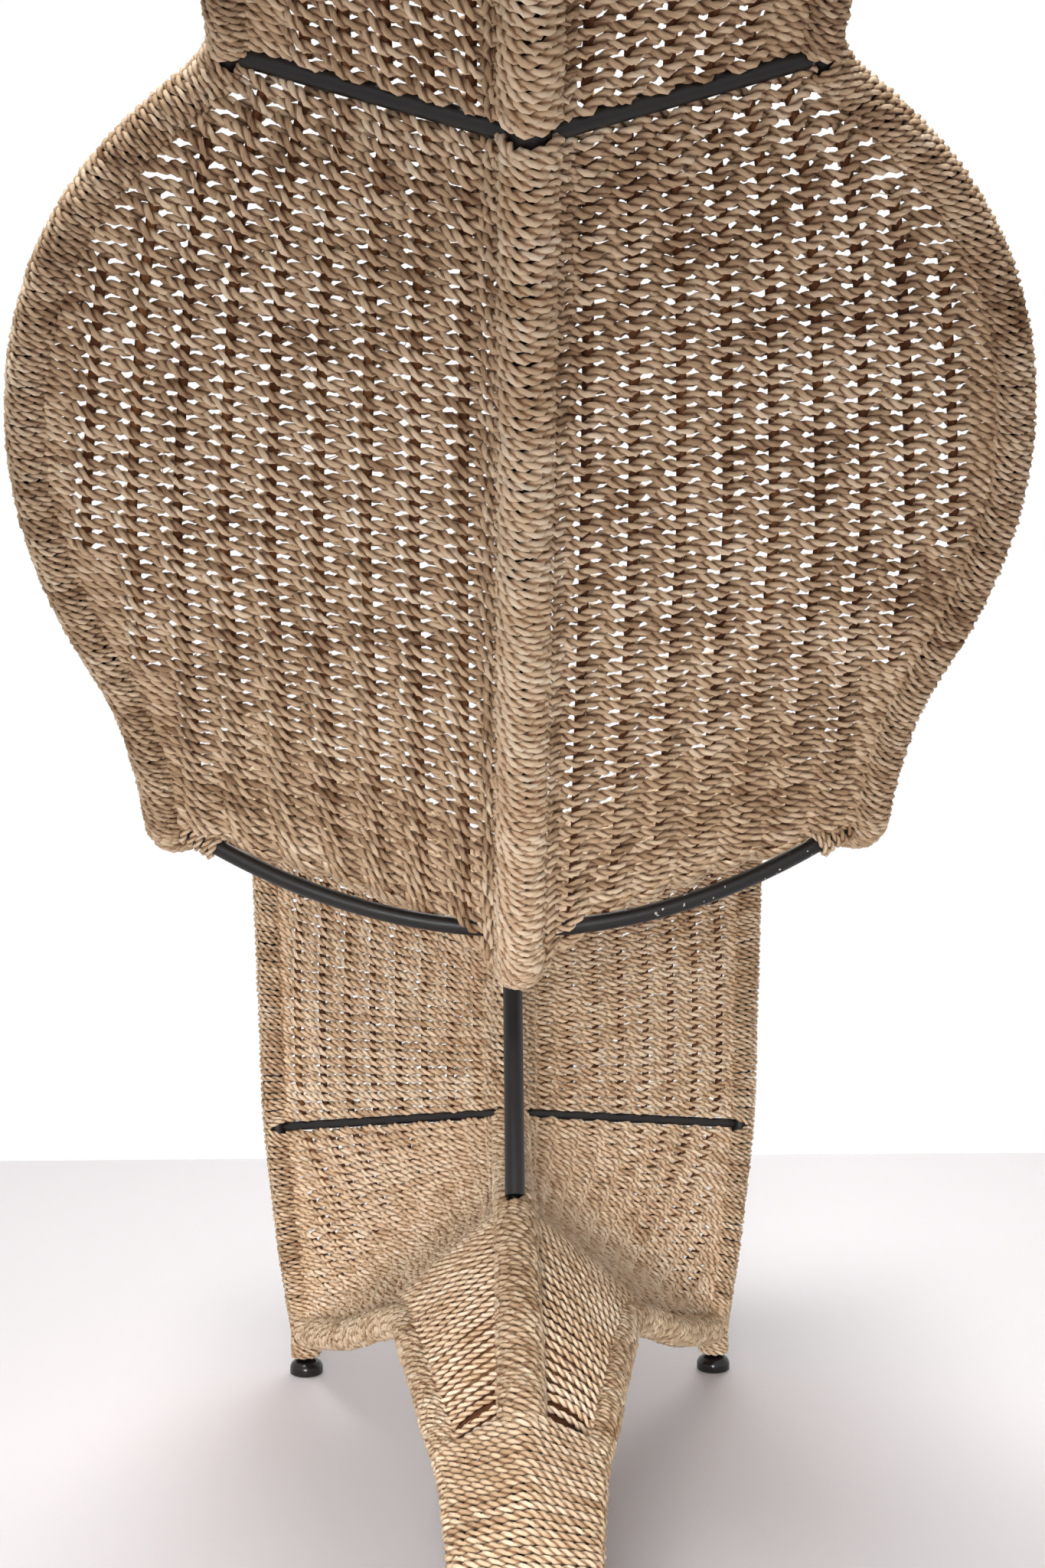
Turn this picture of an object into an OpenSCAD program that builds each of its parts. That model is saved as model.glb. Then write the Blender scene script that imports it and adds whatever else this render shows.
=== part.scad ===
// Lounge chair bent from three steel tubes, two side rails and a middle spine, folded like one
// long ribbon: head, back, seat, shin, foot and tail. Rope is woven across the fold and wound
// round the tubes. The sitter faces +Y, X is the width, and the floor is Z = 0.

/* [Half widths of the side rails] */
// Half width where the rails meet the head bow
bow_half = 96; // [85:1:110]
// Half width of the headrest
head_half = 143; // [130:1:155]
// Half width at the neck
neck_half = 145; // [130:1:160]
// Half width of the back where it is widest
back_half = 271; // [245:1:295]
// Half width at the hips
hip_half = 224; // [210:1:240]
// Half width at the knees
knee_half = 208; // [195:1:225]
// Half width at the front bars
bar_half = 196; // [185:1:206]
// Half width at the two feet
foot_half = 174; // [160:1:185]
// Half width at the waist of the base
waist_half = 81; // [74:1:90]
// Half width where the base weave ends
slit_half = 42; // [38:1:46]
// Half width of the tail
tail_half = 28; // [26:1:32]

/* [Heights of the rails] */
// Height of the rails at the head bow
head_z = 1032; // [1000:1:1060]
// Height of the rails at the neck
neck_z = 907; // [880:1:930]
// Height of the rails where the back starts to turn into the seat
hip_z = 536; // [520:1:550]
// Height of the rails along the seat
seat_z = 498; // [480:1:512]
// Height of the rails over the knees
knee_z = 556; // [540:1:575]
// Height of the rails at the front bars
bar_z = 213; // [195:1:230]
// Height of the rails over the feet
foot_z = 37; // [34:1:42]
// Height of the rails at the waist of the base
waist_z = 136; // [125:1:146]
// Height of the rails where the base weave ends
slit_z = 115; // [108:1:122]

/* [Places of the rails, front to rear] */
// Place of the head bow's ends
head_y = -489; // [-520:1:-460]
// Place of the neck
neck_y = -328; // [-345:1:-310]
// Place where the back starts to turn into the seat
hip_y = -60; // [-72:1:-48]
// Place of the knees' highest point
knee_y = 330; // [315:1:345]
// Place of the front of the shins
shin_y = 454; // [440:1:470]
// Place of the front bars' ends
bar_y = 418; // [406:1:430]
// Place of the two feet
foot_y = 420; // [408:1:430]
// Place of the waist of the base
waist_y = 125; // [112:1:138]
// Place where the base weave ends
slit_y = -100; // [-112:1:-90]
// Place where the tail touches the floor
rest_y = -385; // [-400:1:-370]

/* [Spine] */
// Height of the spine's top end
spine_top_z = 996; // [970:1:1010]
// Place of the spine's top end
spine_top_y = -508; // [-525:1:-490]
// Height of the spine at the neck bars
spine_neck_z = 855; // [840:1:870]
// Place of the spine at the neck bars
spine_neck_y = -379; // [-392:1:-366]
// Height of the spine at the hip hoop
spine_hip_z = 430; // [420:1:440]
// Place of the spine at the hip hoop
spine_hip_y = -68; // [-76:1:-60]
// Height of the spine under the seat
spine_seat_z = 415; // [405:1:422]
// Height of the spine behind the knees
spine_knee_z = 450; // [440:1:460]
// Height of the spine at the front bars
spine_bar_z = 245; // [235:1:255]
// Place of the spine at the front bars
spine_bar_y = 320; // [310:1:330]
// Height of the spine's ridge over the base
apex_z = 210; // [202:1:218]
// Place of the rear end of that ridge
apex_y = 114; // [104:1:122]

/* [Tubes and ribs] */
// Diameter of the side rails, the head bow and the tail bow
rail_d = 14; // [12:0.5:15]
// Diameter of the spine
spine_d = 20; // [18:0.5:21]
// Diameter of the neck bars and the hip hoop
rib_d = 10.5; // [9:0.5:12]
// Diameter of the two front bars
front_bar_d = 7.5; // [6:0.5:10]
// Diameter of the strut
strut_d = 14.4; // [12:0.2:16]
// Place of the strut's top end under the seat
strut_top_y = 245; // [225:1:265]
// Place of the strut's bottom end on the ridge
strut_foot_y = 132; // [126:1:140]

/* [Rope] */
// Diameter of the rope in the weave and round the tubes
rope_d = 6; // [5:0.25:7]
// Thickness of the weave over a stake
weave_t = 9; // [8:0.25:11]
// Thickness of the weave between two stakes
weave_gap_t = 5.5; // [5:0.25:7]
// Stakes across each half of the back
back_stakes = 8; // [5:1:9]
// Stakes across each half of the seat and shins
seat_stakes = 6; // [4:1:7]
// Stakes across each half of the headrest and of the base
small_stakes = 4; // [3:1:5]
// Sag of the weave beside the hip hoop
hip_bow = 15; // [10:1:20]
// Diameter of the rope of the tail winding
wind_d = 5.4; // [5:0.1:5.5]
// Distance from one turn of the tail winding to the next
wind_pitch = 6.8; // [6.7:0.1:7.2]
// Turns of the tail winding
wind_turns = 18; // [12:1:24]

/* [Feet] */
// Diameter of a glide's disc
glide_d = 28; // [24:1:34]
// Height from the floor to the underside of the foot boss
glide_h = 19; // [17:0.5:20]
// Diameter of a glide's threaded stem
stem_d = 8; // [6:0.5:9]
// Length of a stem inside its boss
stem_in = 8; // [7:0.5:8.5]
// Diameter of a foot boss
boss_d = 16; // [14:0.5:18]

/* [Hidden] */

// Clearances: rope round a tube, a part butted against another, a stem in its thread
rope_gap = 0.3;
butt_gap = 0.3;
thread_gap = 0.1;
edge_gap = 0.6;

rail_r = rail_d / 2;
spine_r = spine_d / 2;
rib_r = rib_d / 2;
front_bar_r = front_bar_d / 2;
rail_wrap_r = rail_r + rope_d;
spine_wrap_r = spine_r + rope_d + 0.3;
sides = 8;
bend_step = 15;
steel = [0.11, 0.1, 0.1];
straw = [0.74, 0.62, 0.45];
shade = [0.66, 0.53, 0.37];

function mix(a, b, t) = a + (b - a) * t;
function unit(v) = v / norm(v);
function flip(p) = [-p.x, p.y, p.z];

// Stations. Every station has a point on the right rail and one on the spine, and a row of the
// weave runs from one to the other. The stations are numbered from the head to the tail.
neck = 3;
hip = 13;
bar = 22;
foot = 26;
waist = 30;
slit = 34;

// Tail: depth of the flat under it, length of that flat, and how its curve lifts off the floor
flat_cut = 0.5;
tail_z = spine_wrap_r - flat_cut;
tail_rise = 14;
rest_len = 26;
toe_y = 1.3 * rest_len;
toe_z = 0.17 * tail_rise;
end_y = 67;
end_len = 40;
end_z = 2.3 * tail_rise;
end_taper = 3;

// Back: share of the straight from neck to hip for the rail and for the spine, and the share of
// the swell from the neck or the hips to the widest place
back_rows = [[0.055, 0.04, 0.20], [0.12, 0.082, 0.46], [0.21, 0.141, 0.71], [0.32, 0.221, 0.89],
  [0.45, 0.323, 0.99]];
loin_rows = [[0.58, 0.429, 0.98], [0.72, 0.55, 0.71], [0.86, 0.686, 0.22]];

function head_rail(x, t) = [x, mix(head_y, neck_y, t), mix(head_z, neck_z, t)];
function back_rail(x, t) = [x, mix(neck_y, hip_y, t), mix(neck_z, hip_z, t)];
function head_mid(t) = [0, mix(spine_top_y, spine_neck_y, t), mix(spine_top_z, spine_neck_z, t)];
function back_mid(t) = [0, mix(spine_neck_y, spine_hip_y, t), mix(spine_neck_z, spine_hip_z, t)];

RAIL = [
  [bow_half, head_y, head_z],
  head_rail(head_half - 5, 0.3),
  head_rail(head_half, 0.72),
  [neck_half, neck_y, neck_z],
  for (r = back_rows) back_rail(mix(neck_half, back_half, r[2]), r[0]),
  for (r = loin_rows) back_rail(mix(hip_half, back_half, r[2]), r[0]),
  [hip_half, hip_y, hip_z],
  [hip_half - 1, hip_y + 30, mix(hip_z, seat_z, 0.78)],
  [mix(hip_half, knee_half, 0.3), hip_y + 78, seat_z],
  [mix(hip_half, knee_half, 0.6), mix(hip_y, knee_y, 0.5), seat_z + 3],
  [mix(hip_half, knee_half, 0.85), mix(hip_y, knee_y, 0.77), mix(seat_z, knee_z, 0.55)],
  [knee_half, knee_y, knee_z],
  [knee_half, mix(knee_y, shin_y, 0.62), knee_z - 20],
  [knee_half, mix(knee_y, shin_y, 0.94), knee_z - 82],
  [mix(knee_half, bar_half, 0.15), shin_y, mix(knee_z, bar_z, 0.45)],
  [mix(knee_half, bar_half, 0.55), mix(shin_y, bar_y, 0.45), mix(knee_z, bar_z, 0.74)],
  [bar_half, bar_y, bar_z],
  [mix(bar_half, foot_half, 0.25), bar_y + 6, mix(bar_z, foot_z, 0.36)],
  [mix(bar_half, foot_half, 0.5), foot_y + 10, mix(bar_z, foot_z, 0.67)],
  [mix(bar_half, foot_half, 0.78), foot_y + 14, foot_z + 15],
  [foot_half, foot_y, foot_z],
  [mix(foot_half, waist_half, 0.14), foot_y - 38, foot_z + 9],
  [mix(foot_half, waist_half, 0.5), mix(foot_y, waist_y, 0.51), mix(foot_z, waist_z, 0.45)],
  [mix(foot_half, waist_half, 0.81), mix(foot_y, waist_y, 0.82), mix(foot_z, waist_z, 0.82)],
  [waist_half, waist_y, waist_z],
  [mix(waist_half, slit_half, 0.28), mix(waist_y, slit_y, 0.28), waist_z],
  [mix(waist_half, slit_half, 0.54), mix(waist_y, slit_y, 0.55), mix(waist_z, slit_z, 0.24)],
  [mix(waist_half, slit_half, 0.79), mix(waist_y, slit_y, 0.82), mix(waist_z, slit_z, 0.66)],
  [slit_half, slit_y, slit_z],
  [mix(slit_half, tail_half, 0.4), slit_y - 50, slit_z - 13],
  [mix(slit_half, tail_half, 0.7), slit_y - 105, slit_z - 29],
  [mix(slit_half, tail_half, 0.85), mix(slit_y, rest_y, 0.55), mix(slit_z, tail_z, 0.54)],
  [tail_half, mix(slit_y, rest_y, 0.76), tail_z + tail_rise],
  [tail_half, rest_y + toe_y, tail_z + toe_z],
  [tail_half, rest_y + rest_len / 2, tail_z],
  [tail_half, rest_y - rest_len / 2, tail_z],
  [tail_half, rest_y - toe_y, tail_z + toe_z],
  [tail_half, rest_y - end_y, tail_z + tail_rise],
  [tail_half - end_taper, rest_y - end_y - end_len, tail_z + end_z],
];

SPINE = [
  [0, spine_top_y, spine_top_z],
  head_mid(0.31),
  head_mid(0.68),
  [0, spine_neck_y, spine_neck_z],
  for (r = back_rows) back_mid(r[1]),
  for (r = loin_rows) back_mid(r[1]),
  back_mid(0.853),
  [0, spine_hip_y, spine_hip_z],
  [0, spine_hip_y + 58, spine_seat_z],
  [0, mix(spine_hip_y, spine_bar_y, 0.46), spine_seat_z + 5],
  [0, mix(spine_hip_y, spine_bar_y, 0.74), mix(spine_seat_z, spine_knee_z, 0.66)],
  [0, spine_bar_y - 20, spine_knee_z],
  [0, spine_bar_y + 20, spine_knee_z - 16],
  [0, spine_bar_y + 43, spine_knee_z - 55],
  [0, spine_bar_y + 48, mix(spine_knee_z, spine_bar_z, 0.46)],
  [0, spine_bar_y + 30, mix(spine_knee_z, spine_bar_z, 0.73)],
  [0, spine_bar_y, spine_bar_z],
  [0, spine_bar_y - 24, apex_z + 16],
  [0, mix(spine_bar_y, apex_y, 0.25), apex_z + 4],
  [0, mix(spine_bar_y, apex_y, 0.37), apex_z],
  [0, mix(spine_bar_y, apex_y, 0.5), apex_z - 1],
  [0, mix(spine_bar_y, apex_y, 0.62), apex_z - 1],
  [0, mix(spine_bar_y, apex_y, 0.74), apex_z],
  [0, mix(spine_bar_y, apex_y, 0.87), apex_z + 1],
  [0, apex_y, apex_z],
  [0, mix(apex_y, slit_y, 0.27), apex_z - 12],
  [0, mix(apex_y, slit_y, 0.57), mix(apex_z, slit_z, 0.33)],
  [0, mix(apex_y, slit_y, 0.87), mix(apex_z, slit_z, 0.58)],
  [0, slit_y - 22, slit_z + 23],
  [0, slit_y - 64, slit_z + 1],
  [0, slit_y - 108, slit_z - 27],
  for (k = [slit + 3:len(RAIL) - 1]) [0, RAIL[k].y, RAIL[k].z],
];
LAST = len(RAIL) - 1;

// A smooth curve through the stations, and its direction, taken over a short stretch of a station
nudge = 0.05;
function at(p, k) = k < 0 ? 2 * p[0] - p[1] : k > LAST ? 2 * p[LAST] - p[LAST - 1] : p[k];
function curve(p, u) =
  let (k = min(floor(u), LAST - 1), t = u - k,
    a = at(p, k - 1), b = p[k], c = p[k + 1], d = at(p, k + 2))
  b + (c - a) * t / 2 + (2 * a - 5 * b + 4 * c - d) * t * t / 2
    + (3 * b - a - 3 * c + d) * t * t * t / 2;
function heading(p, u) =
  unit(curve(p, min(u + nudge, LAST)) - curve(p, max(u - nudge, 0)));
function turn(p, k) = acos(min(1, heading(p, k) * heading(p, k + 1)));

// Places of the rings: each station, and the middle of each stretch that bends sharply
RINGS = [
  for (k = [0:LAST - 1])
    each max(turn(RAIL, k), turn(SPINE, k)) > bend_step ? [k, k + 0.5] : [k],
  LAST
];
RN = len(RINGS);
rail_at = [for (u = RINGS) curve(RAIL, u)];
spine_at = [for (u = RINGS) curve(SPINE, u)];
rail_dir = [for (u = RINGS) heading(RAIL, u)];
spine_dir = [for (u = RINGS) heading(SPINE, u)];

// A ring of points round a centre, square to the direction t, its first point near the side n
function ring(c, t, n, r, count) =
  let (a = unit(n - (n * t) * t), b = cross(t, a))
  [for (j = [0:count - 1]) let (w = 360 * (j + 0.5) / count) c + r * (cos(w) * a + sin(w) * b)];
function rail_ring(k, r) = ring(rail_at[k], rail_dir[k], spine_at[k] - rail_at[k], r, sides);
function spine_ring(k, r) = ring(spine_at[k], spine_dir[k], [1, 0, 0], r, sides);

// The last ring place at or before u, and a value between two ring places
function ring_before(u) = max([0, for (k = [0:RN - 2]) if (RINGS[k] <= u) k]);
function blend(list, u) =
  let (k = ring_before(u), t = (u - RINGS[k]) / (RINGS[k + 1] - RINGS[k]))
  [for (j = [0:len(list[k]) - 1]) mix(list[k][j], list[k + 1][j], t)];
function blend_point(list, u) =
  let (k = ring_before(u), t = (u - RINGS[k]) / (RINGS[k + 1] - RINGS[k]))
  mix(list[k], list[k + 1], t);

// Station number a given length of tube past station k
probe = 0.4;
function past(list, k, length) =
  let (s = length > 0 ? probe : -probe)
  k + probe * length / norm(blend_point(list, k + s) - blend_point(list, k));

// Ring places from u0 to u1 with both ends in, and no ring that almost meets an end
ring_room = 0.03;
function span(u0, u1) =
  [u0, for (u = RINGS) if (u > u0 + ring_room && u < u1 - ring_room) u, u1];

// A closed skin over rings of equal length, and a tube wall over outer and inner rings
function band(first, n, m, back) = [
  for (k = [0:m - 2]) for (j = [0:n - 1])
    let (a = first + k * n + j, b = first + k * n + (j + 1) % n, c = b + n, d = a + n)
    each back ? [[a, b, c], [a, c, d]] : [[a, c, b], [a, d, c]]
];
module rod(rings) {
  n = len(rings[0]);
  m = len(rings);
  polyhedron([for (r = rings) each r], concat(band(0, n, m, false),
    [for (j = [1:n - 2]) [0, j, j + 1]],
    [for (j = [1:n - 2]) let (e = (m - 1) * n) [e, e + j + 1, e + j]]));
}
module sleeve(outer, inner) {
  n = len(outer[0]);
  m = len(outer);
  w = m * n;
  e = (m - 1) * n;
  polyhedron([for (r = outer) each r, for (r = inner) each r],
    concat(band(0, n, m, false), band(w, n, m, true),
    [for (j = [0:n - 1]) let (i = (j + 1) % n) each [[j, i, w + i], [j, w + i, w + j]]],
    [for (j = [0:n - 1]) let (i = (j + 1) % n)
      each [[e + j, w + e + i, e + i], [e + j, w + e + j, w + e + i]]]));
}

// Steel tubes
rail_rings = [for (k = [0:RN - 1]) rail_ring(k, rail_r)];
spine_rings = [for (k = [0:RN - 1]) spine_ring(k, spine_r)];
module rail() { color(steel) rod(rail_rings); }
module spine_tube() { color(steel) rod(spine_rings); }

// A straight rib from a to b, cut square so that its ends clear tubes of radius ra and rb
function setback(dir, tube_dir, tube_r, rod_r) =
  let (c = abs(dir * tube_dir), s = sqrt(1 - c * c)) (tube_r + butt_gap + rod_r * c) / s;
module rib(a, b, from, to, d) {
  dir = unit(b - a);
  length = norm(b - a) - from - to;
  translate(a + from * dir)
    rotate([0, acos(dir.z), atan2(dir.y, dir.x)]) cylinder(h = length, d = d, $fn = 32);
}
module cross_bar(k, d) {
  a = curve(SPINE, k);
  b = curve(RAIL, k);
  dir = unit(b - a);
  color(steel) rib(a, b, setback(dir, heading(SPINE, k), spine_r, d / 2),
    setback(dir, heading(RAIL, k), rail_r, d / 2), d);
}

// Strut from the top of the base ridge to the underside of the seat
function spine_place(y, k0, k1) =
  let (k = max([k0, for (i = [k0:k1 - 1]) if ((SPINE[i].y - y) * (SPINE[i + 1].y - y) <= 0) i]))
  k + (y - SPINE[k].y) / (SPINE[k + 1].y - SPINE[k].y);
strut_top_u = spine_place(strut_top_y, hip + 1, hip + 5);
strut_foot_u = spine_place(strut_foot_y, bar + 3, waist);
strut_top = blend_point(spine_at, strut_top_u);
strut_foot = blend_point(spine_at, strut_foot_u);
strut_dir = unit(strut_top - strut_foot);
module strut() {
  color(steel) rib(strut_foot, strut_top,
    setback(strut_dir, heading(SPINE, strut_foot_u), spine_r, strut_d / 2),
    setback(strut_dir, heading(SPINE, strut_top_u), spine_r, strut_d / 2), strut_d);
}

// Hip hoop: a bowed rib on the inner side of the spine, from rail to rail
hoop_steps = 16;
hoop_slant = 2;
hoop_lift = 0.4;
hoop_end = curve(RAIL, hip) - [rail_r + butt_gap + hoop_slant, 0, 0];
hoop_in = unit([0, -heading(SPINE, hip).z, heading(SPINE, hip).y]);
hoop_mid = curve(SPINE, hip) + hoop_in * (spine_r + rib_r + butt_gap + hoop_lift);
function hoop_point(t) =
  [t * hoop_end.x, mix(hoop_mid.y, hoop_end.y, t * t), mix(hoop_mid.z, hoop_end.z, t * t)];
module hip_hoop() {
  color(steel) rod([for (i = [0:hoop_steps]) let (t = 2 * i / hoop_steps - 1)
    ring(hoop_point(t), unit(hoop_point(t + nudge) - hoop_point(t - nudge)), [0, 0, 1],
      rib_r, sides)]);
}

// Head bow: it carries the two rails on over the top end of the spine
bow_half_steps = 7;
bow_top_pull = 34;
bow_end_pull = 22;
bow_nudge = 0.02;
bow_run = 40;
bow_out = unit(rail_at[0] - rail_at[1]);
bow_top = spine_at[0] + unit(spine_at[0] - spine_at[1]) * (rail_r + 2 * butt_gap);
bow_start = rail_at[0] + bow_out * 2 * butt_gap;
bow_lead = rail_at[0] + bow_out * bow_end_pull;
function bow_point(t) =
  t < 0 ? flip(bow_point(-t)) : t > 1 ? bow_start - bow_out * (t - 1) * bow_run
  : let (s = 1 - t) s * s * s * bow_top + 3 * s * s * t * (bow_top + [bow_top_pull, 0, 0])
    + 3 * s * t * t * bow_lead + t * t * t * bow_start;
function bow_ring(t, r) = ring(bow_point(t),
  unit(bow_point(t + bow_nudge) - bow_point(t - bow_nudge)), [0, 0, 1], r, sides);
module head_bow() {
  color(steel) rod([for (i = [-bow_half_steps:bow_half_steps])
    bow_ring(i / bow_half_steps, rail_r)]);
}
module bow_wrap() {
  places = [for (i = [1:bow_half_steps]) i / bow_half_steps];
  color(straw) sleeve([for (t = places) bow_ring(t, rail_wrap_r)],
    [for (t = places) bow_ring(t, rail_r + rope_gap)]);
}

// Tail bow: a short rod across the tail ends of the three tubes
tail_out = unit(spine_at[RN - 1] - spine_at[RN - 2]);
module tail_bow() {
  c = spine_at[RN - 1] + tail_out * (rail_r + 2 * butt_gap);
  half = RAIL[LAST].x + rail_r;
  color(steel) translate([-half, c.y, c.z]) rotate([0, 90, 0])
    cylinder(h = 2 * half, d = rail_d, $fn = 32);
}

// Rope wound round the rail and the spine, from one rib to the next, and the room it leaves
// beside a rod, the hoop, a foot boss, the head bow and a slanting tube
rod_room = 1.2;
hoop_room = rib_r + 6;
foot_room = boss_d / 2 + 1.8;
bow_room = 10;
weave_room = rib_r + 2;
bar_room = front_bar_r + 2;
slant_room = 16;
start_room = 2;
sag_span = 5;
outer_rail = [for (k = [0:RN - 1]) rail_ring(k, rail_wrap_r)];
inner_rail = [for (k = [0:RN - 1]) rail_ring(k, rail_r + rope_gap)];
outer_spine = [for (k = [0:RN - 1]) spine_ring(k, spine_wrap_r)];
inner_spine = [for (k = [0:RN - 1]) spine_ring(k, spine_r + rope_gap)];
module rail_wrap(u0, u1) {
  color(straw) sleeve([for (u = span(u0, u1)) blend(outer_rail, u)],
    [for (u = span(u0, u1)) blend(inner_rail, u)]);
}
module spine_wrap(u0, u1) {
  color(straw) sleeve([for (u = span(u0, u1)) blend(outer_spine, u)],
    [for (u = span(u0, u1)) blend(inner_spine, u)]);
}
// The rope stops on both sides of a rod that leaves its tube on a slant, and it sets in again where
// the rod has passed through the rope's thickness
function opening(path, list, u, away, rod_r, tube_r, wrap_r) =
  let (c = away * heading(path, u), s = sqrt(1 - c * c), near = tube_r * c / s,
    far = wrap_r * c / s, side = rod_r / s + rod_room)
  [past(list, u, min(near, far) - side), past(list, u, max(near, far) + side)];
function rail_opening(u, away, rod_r) =
  opening(RAIL, rail_at, u, away, rod_r, rail_r, rail_wrap_r);
function spine_opening(u, away, rod_r) =
  opening(SPINE, spine_at, u, away, rod_r, spine_r, spine_wrap_r);
function bar_dir(k) = unit(curve(RAIL, k) - curve(SPINE, k));
rail_neck_gap = rail_opening(neck, -bar_dir(neck), rib_r);
rail_hip_gap = [past(rail_at, hip, -rib_r - rod_room), past(rail_at, hip, hoop_room)];
rail_bar_gap = rail_opening(bar, -bar_dir(bar), front_bar_r);
spine_neck_gap = spine_opening(neck, bar_dir(neck), rib_r);
spine_hip_gap = [past(spine_at, hip, -rib_r - rod_room), past(spine_at, hip, hoop_room)];
spine_bar_gap = spine_opening(bar, bar_dir(bar), front_bar_r);
strut_over = spine_opening(strut_top_u, -strut_dir, strut_d / 2);
strut_under = spine_opening(strut_foot_u, strut_dir, strut_d / 2);
rail_head = [past(rail_at, 0, start_room), rail_neck_gap[0]];
rail_back = [rail_neck_gap[1], rail_hip_gap[0]];
rail_seat = [rail_hip_gap[1], rail_bar_gap[0]];
rail_shin = [rail_bar_gap[1], past(rail_at, foot, -foot_room)];
rail_wing = [past(rail_at, foot, foot_room), slit];
spine_head = [past(spine_at, 0, rail_wrap_r), spine_neck_gap[0]];
spine_back = [spine_neck_gap[1], spine_hip_gap[0]];
spine_seat = [spine_hip_gap[1], spine_bar_gap[0]];
spine_base = [spine_bar_gap[1], slit];
// The weave ends beside a rib along its whole length
function rows(list, from, from_room, to, to_room) =
  [past(list, from, from_room), to_room == 0 ? to : past(list, to, -to_room)];
head_weave_spine = rows(spine_at, 0, rail_wrap_r + bow_room, neck, weave_room);
head_weave_rail = rows(rail_at, 0, bow_room, neck, weave_room);
back_weave_spine = rows(spine_at, neck, weave_room, hip, weave_room);
back_weave_rail = rows(rail_at, neck, weave_room, hip, weave_room);
seat_weave_spine = rows(spine_at, hip, hoop_room, bar, bar_room);
seat_weave_rail = rows(rail_at, hip, hoop_room, bar, bar_room);
base_weave_spine = rows(spine_at, bar, bar_room, slit, 0);
base_weave_rail = rows(rail_at, bar, bar_room, slit, 0);

// Woven halves. A row runs from the spine at s = 0 to the rail at s = 1 and sags at the hips.
function sag(u) = hip_bow * pow(max(0, 1 - abs(u - hip) / sag_span), 2);
function row_dir(a, b) = unit(b - a);
function sin_between(a, b) = norm(cross(a, b));
function edge_room(r, t, d) = let (s = sin_between(t, d)) (r + edge_gap) / s + slant_room * (1 - s);
function weave_section(us, ur, stakes) =
  let (a = blend_point(spine_at, us), b = blend_point(rail_at, ur),
    ta = blend_point(spine_dir, us), tb = blend_point(rail_dir, ur),
    d = row_dir(a, b), length = norm(b - a),
    s0 = edge_room(spine_wrap_r, unit(ta), d) / length,
    s1 = 1 - edge_room(rail_wrap_r, unit(tb), d) / length,
    n = unit(cross(d, unit(ta + tb))), cells = 2 * stakes)
  [for (i = [0:cells]) let (s = mix(s0, s1, i / cells),
      half = (i % 2 == 1 ? weave_t : weave_gap_t) / 2,
      c = a + (b - a) * s + n * sag((us + ur) / 2) * 4 * (s - s0) * (s1 - s) / pow(s1 - s0, 2))
    [c + n * half, c - n * half]];
module weave(spine_span, rail_span, stakes) {
  us = span(spine_span[0], spine_span[1]);
  ur = span(rail_span[0], rail_span[1]);
  steps = span(max(spine_span[0], rail_span[0]), min(spine_span[1], rail_span[1]));
  last = len(steps) - 1;
  grid = [for (k = [0:last])
    weave_section(k == 0 ? spine_span[0] : k == last ? spine_span[1] : steps[k],
      k == 0 ? rail_span[0] : k == last ? rail_span[1] : steps[k], stakes)];
  n = len(grid[0]);
  e = last * 2 * n;
  points = [for (g = grid) each concat([for (q = g) q[0]], [for (i = [n - 1:-1:0]) g[i][1]])];
  color(shade) polyhedron(points, concat(band(0, 2 * n, last + 1, false),
    [for (i = [0:n - 2]) let (j = 2 * n - 1 - i) each [[i, i + 1, j - 1], [i, j - 1, j]]],
    [for (i = [0:n - 2]) let (j = 2 * n - 1 - i)
      each [[e + i, e + j - 1, e + i + 1], [e + i, e + j, e + j - 1]]]));
}

// Winding round the three tail tubes. Each point lies on the tube that reaches farthest its way.
wind_r = wind_d / 2;
wind_steps = 24;
wind_lift = 0.75;
wind_sides = 6;
alike = 0.0001;
function tube_list(u) = let (r = blend_point(rail_at, u), s = blend_point(spine_at, u))
  [[r, rail_r], [flip(r), rail_r], [s, spine_r]];
function reach(tube, n, extra) = tube[0] * n + tube[1] + extra;
function wound(u, w, extra) =
  let (t = unit(blend_point(spine_dir, u)), up = unit(cross([1, 0, 0], t)) * -1,
    n = cos(w) * [1, 0, 0] + sin(w) * up, tubes = tube_list(u),
    best = max([for (q = tubes) reach(q, n, extra)]),
    q = [for (q = tubes) if (reach(q, n, extra) > best - alike) q][0],
    p = q[0] + n * (q[1] + extra))
  p;

// Length along the tail, from the end of the base weave, and the station at a given length
tail_first = ring_before(slit);
function middle(k) = (spine_at[k] + [0, rail_at[k].y, rail_at[k].z]) / 2;
tail_run = [for (k = tail_first, s = 0; k < RN;
  s = s + (k < RN - 1 ? norm(middle(k + 1) - middle(k)) : 0), k = k + 1) s];
function tail_u(s) =
  let (k = max([0, for (i = [0:len(tail_run) - 2]) if (tail_run[i] <= s) i]),
    t = (s - tail_run[k]) / (tail_run[k + 1] - tail_run[k]), j = tail_first + k)
  mix(RINGS[j], RINGS[j + 1], t);
wind_start = wind_d / 2 + edge_gap + 1;
wind_end = wind_start + wind_turns * wind_pitch;
wind_count = wind_turns * wind_steps;
wind_path = [for (i = [0:wind_count])
  wound(tail_u(wind_start + i / wind_steps * wind_pitch), 360 * i / wind_steps, wind_r + wind_lift)];

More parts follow.
